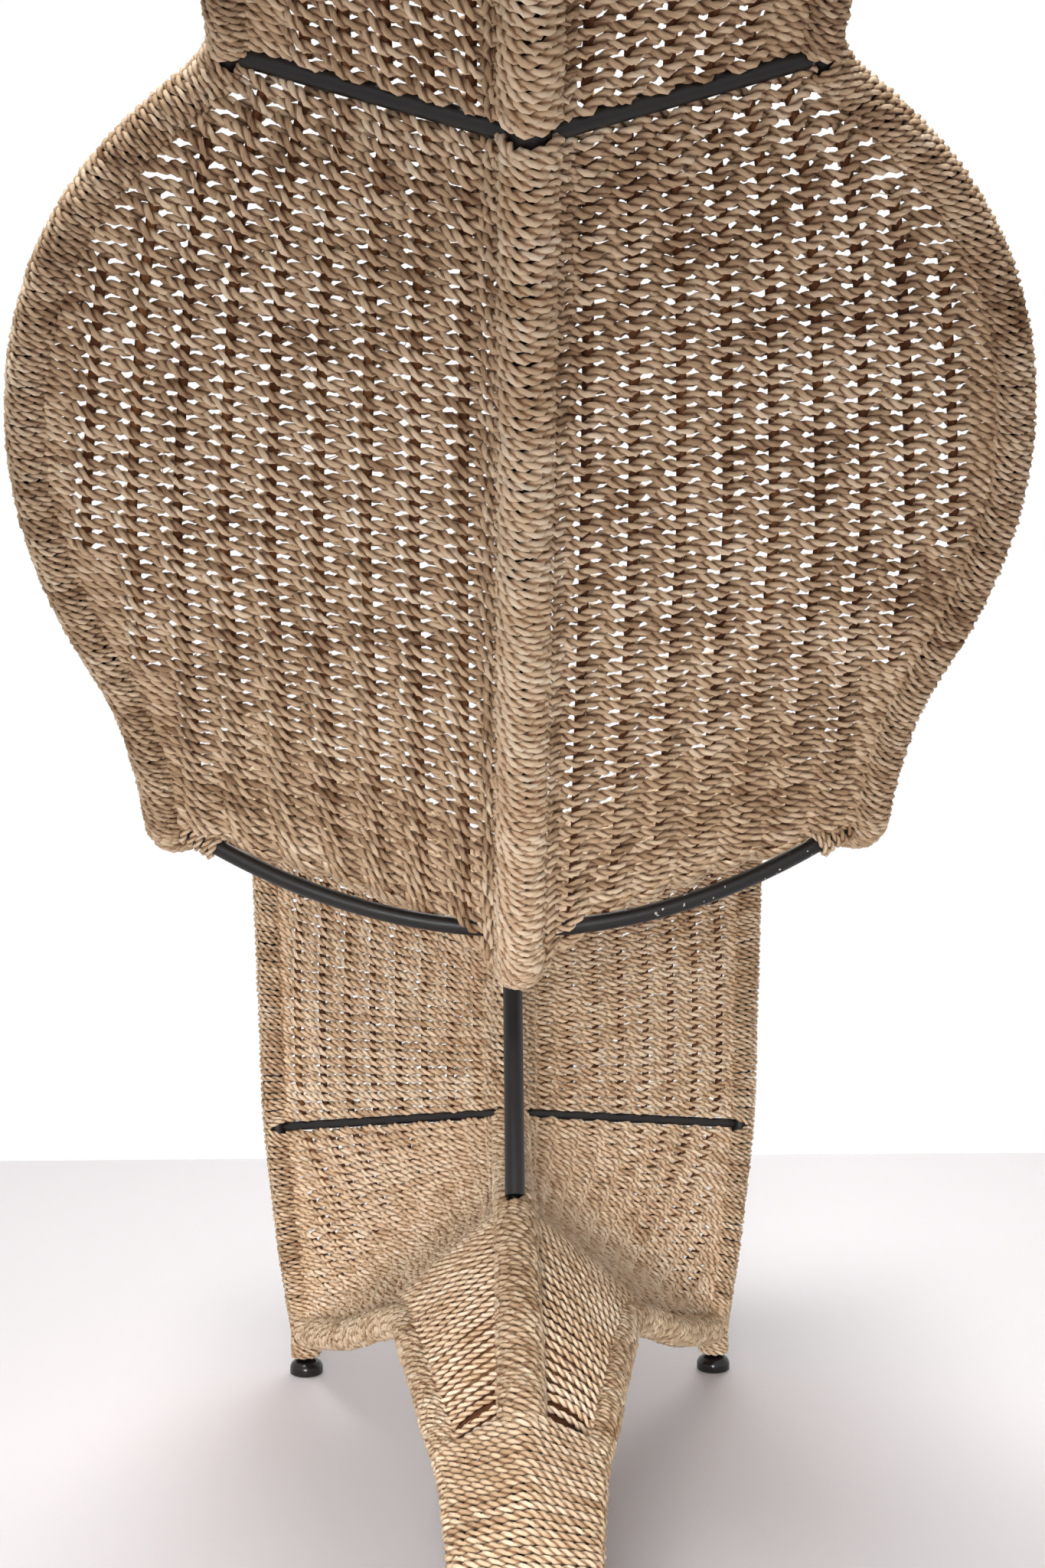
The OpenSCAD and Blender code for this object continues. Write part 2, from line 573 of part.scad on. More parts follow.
// Least gap of the winding to itself, measured from each point to the turn beside it
function to_stretch(p, a, b) =
  let (t = max(0, min(1, (p - a) * (b - a) / ((b - a) * (b - a))))) norm(p - a - (b - a) * t);
wind_gap = min([for (i = [0:wind_count - wind_steps - 3])
  for (j = [i + wind_steps - 2:i + wind_steps + 2])
    to_stretch(wind_path[i], wind_path[j], wind_path[j + 1])]) - wind_d;
echo(least_gap_of_the_tail_winding = wind_gap);
module tail_winding() {
  color(straw) rod([for (i = [0:wind_count])
    ring(wind_path[i], unit(wind_path[min(i + 1, wind_count)] - wind_path[max(i - 1, 0)]),
      wind_path[i] - blend_point(spine_at, tail_u(wind_start + i / wind_steps * wind_pitch)),
      wind_r, wind_sides)]);
}

// Rest of the winding, plain, with a flat where it stands on the floor
tail_flat = spine_r - rail_r;
tail_steps = 8;
tail_room = 3;
tail_gap = 0.7;
tail_seam = 86;
function tail_outer(u, side, w) =
  let (t = unit(blend_point(spine_dir, u)), up = unit(cross(t, [1, 0, 0])),
    c = blend_point(spine_at, u), half = blend_point(rail_at, u).x - tail_flat,
    p = c + [side * half, 0, 0] + spine_wrap_r * (cos(w) * [1, 0, 0] + sin(w) * up))
  [p.x, p.y, max(p.z, 0)];
module tail_wrap() {
  places = span(tail_u(wind_end + wind_d), past(spine_at, LAST, -tail_room));
  color(straw) sleeve(
    [for (u = places) [for (side = [1, -1]) for (i = [0:tail_steps])
      tail_outer(u, side, 180 * i / tail_steps - side * 90)]],
    [for (u = places) [for (side = [1, -1]) for (i = [0:tail_steps])
      wound(u, tail_seam * (2 * i / tail_steps - 1) + 90 * (1 - side), tail_gap)]]);
}

// Feet: a boss under each rail, and a glide that screws into it
boss_gap = 0.4;
boss_top = foot_z - rail_r - boss_gap;
stem_r = stem_d / 2;
stem_seat = 6;
stem_play = 0.6;
disc_edge = 1.2;
disc_t = 5;
collar_r = stem_r + 2;
collar_z = 0.72 * glide_h;
flare_z = 0.62 * glide_h;
module at_foot() { translate([foot_half, foot_y, 0]) children(); }
module foot_boss() {
  color(steel) at_foot() difference() {
    translate([0, 0, glide_h]) cylinder(h = boss_top - glide_h, d = boss_d, $fn = 48);
    translate([0, 0, glide_h - 1])
      cylinder(h = stem_in + 1 + stem_play, r = stem_r + thread_gap, $fn = 48);
  }
}
module glide_stem() {
  color(steel) at_foot() translate([0, 0, stem_seat])
    cylinder(h = glide_h + stem_in - stem_seat, r = stem_r, $fn = 48);
}
module glide_disc() {
  r = glide_d / 2;
  bore = stem_r + 0.05;
  color(steel) at_foot() rotate_extrude($fn = 64) polygon([
    [0, 0], [r - disc_edge, 0], [r, disc_edge], [r, disc_t - disc_edge], [r - disc_edge, disc_t],
    [collar_r + disc_edge, flare_z], [collar_r, collar_z], [collar_r, glide_h - butt_gap],
    [bore, glide_h - butt_gap], [bore, stem_seat], [0, stem_seat]]);
}

// The origin lies under the middle of the whole chair
function ends_y(rings) = [for (r = rings) for (p = r) p.y];
bow_ends = ends_y([for (i = [1:bow_half_steps]) bow_ring(i / bow_half_steps, rail_wrap_r)]);
front_most = max(ends_y(outer_rail));
rear_most = min(concat(bow_ends, ends_y(outer_rail)));
middle_y = (front_most + rear_most) / 2;
echo(middle_of_the_chair = middle_y);
module placed() { translate([0, -middle_y, 0]) children(); }
module right() { placed() children(); }
module left() { placed() mirror([1, 0, 0]) children(); }

left() rail();  // rail_left
right() rail();  // rail_right
placed() spine_tube();
placed() head_bow();
placed() tail_bow();
placed() strut();
left() cross_bar(neck, rib_d);  // neck_bar_left
right() cross_bar(neck, rib_d);  // neck_bar_right
placed() hip_hoop();
left() cross_bar(bar, front_bar_d);  // front_bar_left
right() cross_bar(bar, front_bar_d);  // front_bar_right
left() foot_boss();  // foot_boss_left
right() foot_boss();  // foot_boss_right
left() glide_stem();  // glide_stem_left
right() glide_stem();  // glide_stem_right
left() glide_disc();  // glide_disc_left
right() glide_disc();  // glide_disc_right
left() bow_wrap();  // bow_wrap_left
right() bow_wrap();  // bow_wrap_right
left() rail_wrap(rail_head[0], rail_head[1]);  // head_wrap_left
right() rail_wrap(rail_head[0], rail_head[1]);  // head_wrap_right
left() rail_wrap(rail_back[0], rail_back[1]);  // back_wrap_left
right() rail_wrap(rail_back[0], rail_back[1]);  // back_wrap_right
left() rail_wrap(rail_seat[0], rail_seat[1]);  // seat_wrap_left
right() rail_wrap(rail_seat[0], rail_seat[1]);  // seat_wrap_right
left() rail_wrap(rail_shin[0], rail_shin[1]);  // shin_wrap_left
right() rail_wrap(rail_shin[0], rail_shin[1]);  // shin_wrap_right
left() rail_wrap(rail_wing[0], rail_wing[1]);  // wing_wrap_left
right() rail_wrap(rail_wing[0], rail_wing[1]);  // wing_wrap_right
placed() spine_wrap(spine_head[0], spine_head[1]);  // head_spine_wrap
placed() spine_wrap(spine_back[0], spine_back[1]);  // back_spine_wrap
placed() spine_wrap(spine_seat[0], strut_over[0]);  // seat_spine_wrap
placed() spine_wrap(strut_over[1], spine_seat[1]);  // knee_spine_wrap
placed() spine_wrap(spine_base[0], strut_under[0]);  // ridge_spine_wrap
placed() spine_wrap(strut_under[1], spine_base[1]);  // nose_spine_wrap
left() weave(head_weave_spine, head_weave_rail, small_stakes);  // head_weave_left
right() weave(head_weave_spine, head_weave_rail, small_stakes);  // head_weave_right
left() weave(back_weave_spine, back_weave_rail, back_stakes);  // back_weave_left
right() weave(back_weave_spine, back_weave_rail, back_stakes);  // back_weave_right
left() weave(seat_weave_spine, seat_weave_rail, seat_stakes);  // seat_weave_left
right() weave(seat_weave_spine, seat_weave_rail, seat_stakes);  // seat_weave_right
left() weave(base_weave_spine, base_weave_rail, small_stakes);  // base_weave_left
right() weave(base_weave_spine, base_weave_rail, small_stakes);  // base_weave_right
placed() tail_winding();
placed() tail_wrap();
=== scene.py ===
# %% [markdown]
# # A lounge chair of three folded tubes and twisted rope
# The real chair is a steel frame of two side rails and one spine. They run side by side
# like a ribbon that folds at the hips, the knees and the feet, and end in one narrow tail.
# Seagrass rope is woven across the ribbon and wound round the tubes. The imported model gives
# the frame and its places. This lesson dresses it: it lays every rope along the same tubes
# and gives steel and rope their finish.

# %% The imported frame
import math

import bmesh
import bpy
import numpy as np
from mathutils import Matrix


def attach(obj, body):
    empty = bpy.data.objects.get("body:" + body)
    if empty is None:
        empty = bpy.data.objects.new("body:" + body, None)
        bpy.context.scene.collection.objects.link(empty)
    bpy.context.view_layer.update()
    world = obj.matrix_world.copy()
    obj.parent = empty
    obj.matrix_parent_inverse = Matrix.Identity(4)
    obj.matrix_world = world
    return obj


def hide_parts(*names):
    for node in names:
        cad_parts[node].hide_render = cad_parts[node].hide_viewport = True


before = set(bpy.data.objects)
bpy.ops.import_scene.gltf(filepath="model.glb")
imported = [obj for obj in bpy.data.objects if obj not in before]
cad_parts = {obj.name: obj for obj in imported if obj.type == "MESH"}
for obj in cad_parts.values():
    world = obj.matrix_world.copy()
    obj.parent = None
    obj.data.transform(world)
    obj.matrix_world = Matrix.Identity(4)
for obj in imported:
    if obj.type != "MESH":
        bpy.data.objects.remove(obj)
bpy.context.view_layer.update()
dice = np.random.RandomState(11)
MM = 0.001
WELD = 0.001 * MM
FINE = 3000

# %% [markdown]
# ## The camera
# The photograph looks at the back of the chair from behind, a little from above. A 50 mm
# lens 1.38 m behind the middle of the chair gives the same perspective. The camera is set
# first, so that each piece can be judged in its view as it is made.

# %% Camera
camera = bpy.data.objects.new("camera", bpy.data.cameras.new("camera"))
bpy.context.scene.collection.objects.link(camera)
camera.data.lens = 50
camera.data.sensor_width = 36
camera.data.clip_start = 0.02
camera.location = (-0.0249, -1.3796, 0.6184)
camera.rotation_euler = (math.radians(86.39), math.radians(0.18), math.radians(-1.17))
bpy.context.scene.camera = camera
print("camera at", tuple(camera.location))

# %% [markdown]
# ## The middle of each tube
# Every rope follows a tube, so the first thing to find is where the tubes run. A bent tube
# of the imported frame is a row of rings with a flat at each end. A bmesh knows which edges
# meet at a corner: from the corners of one flat the edges lead to the next ring, and so on
# to the other end. The middle of each ring is a point of the centre line.

# %% Centre lines
RAIL_D, SPINE_D, RIB_D, BAR_D = 14 * MM, 20 * MM, 10.5 * MM, 7.5 * MM
END_REACH, END_FLAT = 1.02, 0.03 * MM


def centre_line(name, outward, thick):
    """The middles of a rod's rings, from the end that lies farthest outward."""
    rod = bmesh.new()
    rod.from_mesh(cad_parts[name].data)
    bmesh.ops.remove_doubles(rod, verts=rod.verts, dist=WELD)
    rod.verts.index_update()
    tip = max(rod.verts, key=lambda v: float(np.dot(v.co, outward)))
    near = [v for v in rod.verts if (v.co - tip.co).length < END_REACH * thick]
    flats = [[v for v in near if abs((v.co - tip.co).dot(face.normal)) < END_FLAT]
             for face in tip.link_faces]
    ring = set(max(flats, key=len))
    seen, middles = set(ring), []
    while ring:
        middles.append(np.mean([v.co for v in sorted(ring, key=lambda v: v.index)], axis=0))
        ring = {edge.other_vert(v) for v in ring for edge in v.link_edges} - seen
        seen |= ring
    rod.free()
    return np.array(middles)


def lengths(points):
    """How far each point lies along its path."""
    return np.concatenate([[0], np.cumsum(np.linalg.norm(np.diff(points, axis=0), axis=1))])


rail = centre_line("rail_right", (-0.5, -0.3, 1), RAIL_D)
spine = centre_line("spine_tube", (0, -0.8, 1), SPINE_D)
hoop = centre_line("hip_hoop", (1, 0, 0), RIB_D)
bow = centre_line("head_bow", (1, 0, 0), RAIL_D)
print(len(rail), "rings on a rail,", len(spine), "on the spine")

# %% [markdown]
# The rail and the spine have as many rings as each other, and a row of the weave runs from
# a ring of the one to the same ring of the other. So both are given one running number, the
# station: the length to that ring, averaged over the two tubes. A smooth curve through the
# rings then names a place on either tube by its station.

# %% Places and directions on a tube
run = (lengths(rail) + lengths(spine)) / 2
LAST = run[-1]
NUDGE = 3 * MM


def unit(v):
    return v / np.linalg.norm(v, axis=-1, keepdims=True)


def along(points, knots, u):
    """The point at u of a smooth curve that passes through each point at its knot."""
    u = np.clip(np.asarray(u, float), knots[0], knots[-1])
    k = np.clip(np.searchsorted(knots, u, side="right") - 1, 0, len(knots) - 2)
    slope = np.gradient(points, knots, axis=0)
    h = np.asarray(knots[k + 1] - knots[k])[..., None]
    t = np.asarray(u - knots[k])[..., None] / h
    start = points[k] * (1 + 2 * t) + slope[k] * h * t
    end = points[k + 1] * (3 - 2 * t) - slope[k + 1] * h * (1 - t)
    return start * (1 - t)**2 + end * t**2


def place(line, u):
    return along(line, run, u)


def heading(line, u):
    """The direction of the tube at station u, towards the tail."""
    return unit(place(line, np.minimum(u + NUDGE, LAST)) - place(line, np.maximum(u - NUDGE, 0)))


def past(line, u, length):
    """The station that lies a length of this tube past station u."""
    speed = np.linalg.norm(place(line, u + NUDGE) - place(line, u - NUDGE)) / (2 * NUDGE)
    return u + length / speed


print("the ribbon is", round(LAST, 3), "m long")

# %% [markdown]
# The ribs, the strut and the feet divide the ribbon. Their stations are found on the packed
# nodes, so the ropes stop and start where the solids do. A straight rod crosses a tube where
# its axis comes nearest. The hips, the feet and the slits are the places nearest to the hoop,
# the bosses and the ends of the wrapped wings, and the knee is the top of the rail there.

# %% Stations along the ribbon


def corners(name):
    """The corners of a node of the frame."""
    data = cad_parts[name].data
    flat = np.zeros(len(data.vertices) * 3, np.float32)
    data.vertices.foreach_get("co", flat)
    return np.unique(flat.reshape(-1, 3).astype(float).round(6), axis=0)


def nearest(line, points):
    """The station of the line that each point is nearest to."""
    u = np.linspace(0, LAST, FINE)
    gaps = np.linalg.norm(points[:, None] - place(line, u), axis=2)
    return u[gaps.argmin(axis=1)]


def crossing(line, name, low=0.0, high=None):
    """The station between low and high at which the axis of a straight rod crosses the line."""
    points = corners(name)
    middle = points.mean(axis=0)
    axis = np.linalg.svd(points - middle)[2][0]
    u = np.linspace(low, high or LAST, FINE)
    return float(u[np.linalg.norm(np.cross(place(line, u) - middle, axis), axis=1).argmin()])


NECK = crossing(rail, "neck_bar_right")
HIP = float(nearest(rail, hoop[:1])[0])
BAR = crossing(rail, "front_bar_right")
FOOT = float(nearest(rail, corners("foot_boss_right").mean(axis=0, keepdims=True))[0])
STRUT_TOP = crossing(spine, "strut", HIP, BAR)
STRUT_FOOT = crossing(spine, "strut", BAR)
SLIT = float(nearest(rail, corners("wing_wrap_right")).max())
MID_BACK = (NECK + HIP) / 2
on_seat = (run > HIP) & (run < BAR)
KNEE = float(run[on_seat][rail[on_seat, 2].argmax()])
for name, station in (("neck", NECK), ("hip", HIP), ("knee", KNEE), ("front bar", BAR), ("foot", FOOT),
                      ("strut top", STRUT_TOP), ("strut foot", STRUT_FOOT), ("slit", SLIT)):
    print(name, "at station", round(station, 3))

# %% [markdown]
# ## Rope
# The rope is two round plies twisted together, about 6 mm thick, and the plies show as a row
# of slanted beads 7 mm apart. A curve with a small eight-sided profile makes this from few
# faces. The profile is the figure eight that two plies make side by side, and each point
# along the rope turns it by a fifth of a turn. Rope laid this way is light enough to wind and
# weave a whole chair. No hand-laid rope is even, so its thickness and its twist change a
# little all along.

# %% The rope's profile
ROPE_R = 2.8 * MM
LAY = 14 * MM
TURN = math.radians(72)
STEP = LAY * TURN / (2 * math.pi)
PLAY, TWIST_EVERY, GIRTH_EVERY = 0.08, 9, 3
PLIES = [(ply + angle, r) for ply in (0, 180) for angle, r in ((-42, 0.8), (0, 1), (42, 0.8), (90, 0.5))]


def profile(name, corners_at):
    """A closed flat outline from angles and radii, in millimetres."""
    flat = bpy.data.curves.new(name, "CURVE")
    flat.dimensions = "2D"
    line = flat.splines.new("POLY")
    line.points.add(len(corners_at) - 1)
    line.use_cyclic_u = True
    for point, (angle, r) in zip(line.points, corners_at):
        a = math.radians(angle)
        point.co = (r * math.cos(a), r * math.sin(a), 0, 1)
    thing = bpy.data.objects.new(name, flat)
    bpy.context.scene.collection.objects.link(thing)
    thing.scale = (MM, MM, MM)
    return thing


ply_profile = profile("ply_profile", [(a, r * ROPE_R / MM) for a, r in PLIES])
rod_profile = profile("rod_profile", [(a, 1) for a in range(0, 360, 60)])
round_profile = profile("round_profile", [(a, 1) for a in range(0, 360, 15)])
print("profiles made, one step of rope is", round(STEP / MM, 2), "mm")

# %% From paths to one mesh


def uneven(n, every, low, high):
    """n values that change smoothly, with a new random value every few."""
    knots = np.arange(0, n + every, every)
    return np.interp(np.arange(n), knots, dice.uniform(low, high, len(knots)))


def resample(path, step):
    """The same path with points a step apart."""
    far = lengths(path)
    n = max(2, int(round(far[-1] / step)) + 1)
    at = np.linspace(0, far[-1], n)
    return np.column_stack([np.interp(at, far, path[:, i]) for i in range(3)])


def sweep(name, paths, outline, step, thick=1.0, turn=0.0, play=0.0):
    """One mesh of rods or ropes along paths. play is how unevenly the rope was laid."""
    data = bpy.data.curves.new(name, "CURVE")
    data.dimensions = "3D"
    data.bevel_mode = "OBJECT"
    data.bevel_object = outline
    data.use_fill_caps = True
    counts = []
    for path in paths:
        points = resample(path, step * thick if turn else step)
        n = len(points)
        line = data.splines.new("POLY")
        line.points.add(n - 1)
        places = np.column_stack([points, np.ones(n)])
        line.points.foreach_set("co", places.astype(np.float32).ravel())
        start = dice.uniform(0, 2 * math.pi)
        twist = turn * uneven(n, TWIST_EVERY, 1 - 2 * play, 1 + 2 * play)
        line.points.foreach_set("tilt", (start + np.cumsum(twist)).astype(np.float32))
        girth = thick * uneven(n, GIRTH_EVERY, 1 - play, 1 + play)
        line.points.foreach_set("radius", girth.astype(np.float32))
        counts.append(n)
    swept = bpy.data.objects.new(name + "_curve", data)
    bpy.context.scene.collection.objects.link(swept)
    graph = bpy.context.evaluated_depsgraph_get()
    mesh = bpy.data.meshes.new_from_object(swept.evaluated_get(graph), depsgraph=graph)
    bpy.data.objects.remove(swept)
    bpy.data.curves.remove(data)
    mark(mesh, counts, len(outline.data.splines[0].points))
    weld(mesh)
    mesh.name = name
    thing = bpy.data.objects.new(name, mesh)
    bpy.context.scene.collection.objects.link(thing)
    return thing


# %% [markdown]
# The material later needs three things of each corner of a rope: how dark its bead is, how deep it lies
# between the plies, where the material paints shade into the groove, and where it lies along the rope.
# The mesh that Blender makes of a curve holds first the caps of all the paths and then their rings in
# order, so the values can be worked out ring by ring.

# %% Marks for the material
SLOW_EVERY, BEAD_EVERY = 45, 4
SLOW_PART, BEAD_PART = 0.4, 0.6
UV_APART = 7


def mark(mesh, counts, sides):
    """Stores the tone of each bead and the depth of each corner, which marks the grooves for painted
    shade, and scales the UV by length.
    """
    caps, rings, part = 2 * sides * len(counts), sum(counts), sides // 2
    slow = np.concatenate([uneven(n, SLOW_EVERY, 0, 1) for n in counts])
    plies = [np.concatenate([uneven(n, BEAD_EVERY, 0, 1) for n in counts]) for ply in (0, 1)]
    beads = np.repeat(np.array(plies).T, part, axis=1)
    mixed = SLOW_PART * slow[:, None] + BEAD_PART * beads
    tones = np.concatenate([np.full(caps, 0.5), mixed.ravel()])
    # The groove corners are marked here for painted shade.
    groove_shade = np.arange(caps + rings * sides) % part == part - 1
    for label, values in (("tone", tones), ("groove_shade", groove_shade)):
        stored = mesh.attributes.new(label, "FLOAT", "POINT")
        stored.data.foreach_set("value", values.astype(np.float32))
    paths = np.arange(len(counts))
    owner = np.concatenate([np.repeat(paths, 2 * sides), np.repeat(paths, np.array(counts) * sides)])
    uv = np.zeros(len(mesh.loops) * 2, np.float32)
    mesh.uv_layers[0].data.foreach_get("uv", uv)
    vertex = np.zeros(len(mesh.loops), np.int32)
    mesh.loops.foreach_get("vertex_index", vertex)
    mine = owner[vertex]
    uv = uv.reshape(-1, 2)
    uv[:, 1] = uv[:, 1] * np.array(counts)[mine] * STEP / LAY + UV_APART * mine
    mesh.uv_layers[0].data.foreach_set("uv", uv.ravel())


def weld(mesh):
    """Closes the ends, whose caps come apart from the sides."""
    shape = bmesh.new()
    shape.from_mesh(mesh)
    bmesh.ops.remove_doubles(shape, verts=shape.verts, dist=WELD)
    shape.to_mesh(mesh)
    shape.free()
    mesh.shade_smooth()


def fit(thing, material, stands_for=(), body="frame"):
    """Gives a piece its material and its body, and hides the CAD nodes it stands for."""
    thing.data.materials.clear()
    thing.data.materials.append(material)
    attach(thing, body)
    if stands_for:
        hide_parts(*stands_for)
    return thing


# %% [markdown]
# ## Seagrass
# Twisted seagrass is straw coloured and uneven. The fibres run along each ply, so a noise that is
# stretched along the rope's own UV gives both the fine streaks and the relief. The tone stored for each
# bead makes one paler than the next, a slow noise browns whole patches, and the groove between two plies
# is darker still with painted shade. The rope of the head and the back is browner with painted shade,
# and that of the spine, the shins and the base is paler with painted light. The stakes behind the weave
# are dark with painted shade. So one function makes all these finishes from their colours.

# %% Node helpers


def linear(v):
    """A screen value, 0 to 255, in the shader's linear numbers."""
    return ((v / 255 + 0.055) / 1.055) ** 2.4 if v > 10 else v / 255 / 12.92


def srgb(r, g, b):
    """A colour as seen on a screen, for a shader."""
    return linear(r), linear(g), linear(b), 1


def painted(name):
    """A new material with its tree and its main shader."""
    material = bpy.data.materials.new(name)
    material.use_nodes = True
    return material, material.node_tree, material.node_tree.nodes["Principled BSDF"]


def add(tree, kind, *wires, **values):
    """Adds a node, sets its inputs and fields, and wires (input, output) pairs into it."""
    node = tree.nodes.new("ShaderNode" + kind)
    for key, value in values.items():
        name = key.replace("_", " ")
        if name in node.inputs:
            node.inputs[name].default_value = value
        else:
            setattr(node, key, value)
    for key, output in wires:
        tree.links.new(output, node.inputs[key])
    return node


def ramp(tree, source, *stops):
    """A colour ramp of (place, colour) stops."""
    node = add(tree, "ValToRGB", (0, source))
    for stop, (at, colour) in enumerate(stops):
        element = node.color_ramp.elements[stop] if stop < 2 else node.color_ramp.elements.new(at)
        element.position = at
        element.color = colour
    return node.outputs["Color"]


def share(tree, source, part):
    """A value times a constant."""
    node = add(tree, "Math", (0, source), operation="MULTIPLY")
    node.inputs[1].default_value = part
    return node.outputs[0]


def total(tree, first, second):
    return add(tree, "Math", (0, first), (1, second), operation="ADD").outputs[0]


# %% The rope's material
FIBRE_PART, PATCH_PART, TONE_PART = 0.4, 0.3, 0.4


def seagrass(name, dark, straw, pale, between):
    """Straw in three tones. between is the colour that the grooves are multiplied by, which paints shade
    between the plies.
    """
    material, tree, shader = painted(name)
    uv = add(tree, "UVMap", uv_map="UVMap").outputs["UV"]
    stretched = add(tree, "Mapping", ("Vector", uv), Scale=(14, 2.2, 1)).outputs["Vector"]
    fibre = add(tree, "TexNoise", ("Vector", stretched), Scale=1.0, Detail=4.0, Roughness=0.65)
    here = add(tree, "TexCoord").outputs["Object"]
    patch = add(tree, "TexNoise", ("Vector", here), Scale=22.0, Detail=3.0)
    tone = add(tree, "Attribute", attribute_name="tone").outputs["Fac"]
    groove_shade = add(tree, "Attribute", attribute_name="groove_shade").outputs["Fac"]
    streaks = share(tree, fibre.outputs["Fac"], FIBRE_PART)
    value = total(tree, streaks, share(tree, patch.outputs["Fac"], PATCH_PART))
    value = total(tree, value, share(tree, tone, TONE_PART))
    colour = ramp(tree, value, (0.34, dark), (0.55, straw), (0.76, pale))
    # Multiplying the grooves by between paints shade between the plies.
    deep = add(tree, "MixRGB", (0, groove_shade), (1, colour), blend_type="MULTIPLY")
    deep.inputs[2].default_value = between
    tree.links.new(deep.outputs[0], shader.inputs["Base Color"])
    bump = add(tree, "Bump", ("Height", fibre.outputs["Fac"]), Strength=0.45, Distance=0.0005)
    tree.links.new(bump.outputs[0], shader.inputs["Normal"])
    shader.inputs["Roughness"].default_value = 0.8
    shader.inputs["Specular IOR Level"].default_value = 0.22
    return material


rope = seagrass("seagrass", srgb(164, 130, 96), srgb(215, 188, 155), srgb(240, 222, 196),
                srgb(150, 116, 88))
# The browner copy is painted shade for the head, the back and its rails; the paler copy is painted light
# for the spine, the shins and the base.
shaded_rope = seagrass("seagrass_shaded", srgb(130, 96, 66), srgb(207, 178, 145), srgb(246, 226, 198),
                      srgb(116, 82, 58))
lit_rope = seagrass("seagrass_lit", srgb(190, 156, 120), srgb(232, 206, 174), srgb(248, 232, 208),
                     srgb(156, 122, 94))
# The stake finish is dark as painted shade; it also darkens the rods behind the slits.
dark_shade_fibre = seagrass("dark_shade_fibre", srgb(66, 38, 20), srgb(98, 60, 34), srgb(136, 92, 56),
                       srgb(200, 180, 160))
shade_fibre = seagrass("shade_fibre", srgb(106, 72, 44), srgb(146, 108, 74), srgb(180, 142, 104),
                       srgb(200, 180, 160))
print("rope finishes made")

# %% [markdown]
# ## The woven panels
# Each half of the ribbon has stakes that run its way, and rows of rope pairs across them.
# At a stake, one rope of a pair passes in front and the other behind, one a little higher
# than the other. Between two stakes they change places and lie one above the other, which
# closes the weave there and leaves a small window on each side of every stake. A cosine
# lifts each rope off the panel and a sine moves it along the panel, so the same two lines
# of arithmetic lay every row. The sine is steepened, because the ropes spring apart as soon
# as they are past the stake.
#
# SNUG is how much closer than their share of the row the two ropes lie. A smaller SPRING
# makes them part more quickly. SETTLE is how far past the last stake they lie one above the
# other, and OVER_BAND lifts a rope's first stretch onto the winding of the spine.

# %% Rows and stakes
SPINE_EDGE, RAIL_EDGE = 15.2 * MM, 11.5 * MM
HIP_SAG, BACK_REACH, SEAT_REACH = 15 * MM, 0.30, 0.47
SNUG, LEAST_APART = 2.35 * MM, 0.9 * MM
SPRING, SETTLE = 0.5, 10 * MM
OVER_BAND, BAND_REACH = 0.9, 3.6 * MM
ROOM_FOR_STAKE = 0.55
TUCK, WANDER, WANDER_EVERY = 3 * MM, 0.5 * MM, 22


def row(us, ur):
    """A row's start on the spine, its directions, and the stretch between the wound tubes."""
    a, b = place(spine, us), place(rail, ur)
    across = unit(b - a)
    ta, tb = heading(spine, us), heading(rail, ur)
    normal = unit(np.cross(across, unit(ta + tb)))
    down = np.cross(normal, across)
    near = SPINE_EDGE / np.linalg.norm(np.cross(ta, across))
    far = np.linalg.norm(b - a) - RAIL_EDGE / np.linalg.norm(np.cross(tb, across))
    return a, across, normal, down, near, far


def sag(u):
    """How far the weave sags at station u beside the hips."""
    return HIP_SAG * max(0, 1 - abs(u - HIP) / (BACK_REACH if u < HIP else SEAT_REACH)) ** 2


def stakes_of(near, far, first, gap):
    """Where the stakes of a row stand, measured from the spine."""
    count = max(1, int((far - first) / gap + ROOM_FOR_STAKE))
    return first + gap * np.arange(count)


def pitches(spine_span, rail_span, count):
    """How far apart the rows of a panel lie at the spine and at the rail."""
    return [np.linalg.norm(np.diff(place(line, np.linspace(*span, count + 1)), axis=0), axis=1)
            for line, span in ((spine, spine_span), (rail, rail_span))]


def strand(us, ur, first, gap, side, lift, skew, wide):
    """One rope of a pair. side is 0 or 1 for the two ropes. skew is how much lower the front
    rope lies at a stake, and wide is how far apart the rows lie at the spine and at the rail."""
    a, across, normal, down, near, far = row(us, ur)
    x = np.arange(near - TUCK, far + TUCK, MM)
    stakes = stakes_of(near, far, first, gap)
    knots = np.concatenate([[near], stakes, [min(stakes[-1] + SETTLE, far)]])
    half_turns = np.append(np.arange(len(knots) - 1), len(knots) - 1.5)
    phase = math.pi * (np.interp(x, knots, half_turns) + side)
    over, apart = np.cos(phase), np.sin(phase)
    apart = apart * np.sqrt((1 + SPRING**2) / (apart**2 + SPRING**2))
    s = np.clip((x - near) / (far - near), 0, 1)
    room = (wide[0] * (1 - s) + wide[1] * s) / 2
    apart = apart * np.maximum(room - SNUG, LEAST_APART)
    loose = WANDER * uneven(len(x), WANDER_EVERY, -1, 1)
    band = 1 + OVER_BAND * np.exp(-((x - near) / BAND_REACH) ** 2)
    high = sag((us + ur) / 2) * 4 * s * (1 - s) + lift * over * band
    aside = apart - skew * over + loose
    return a + np.outer(x, across) + np.outer(high, normal) + np.outer(aside, down)


# %% One panel of the weave


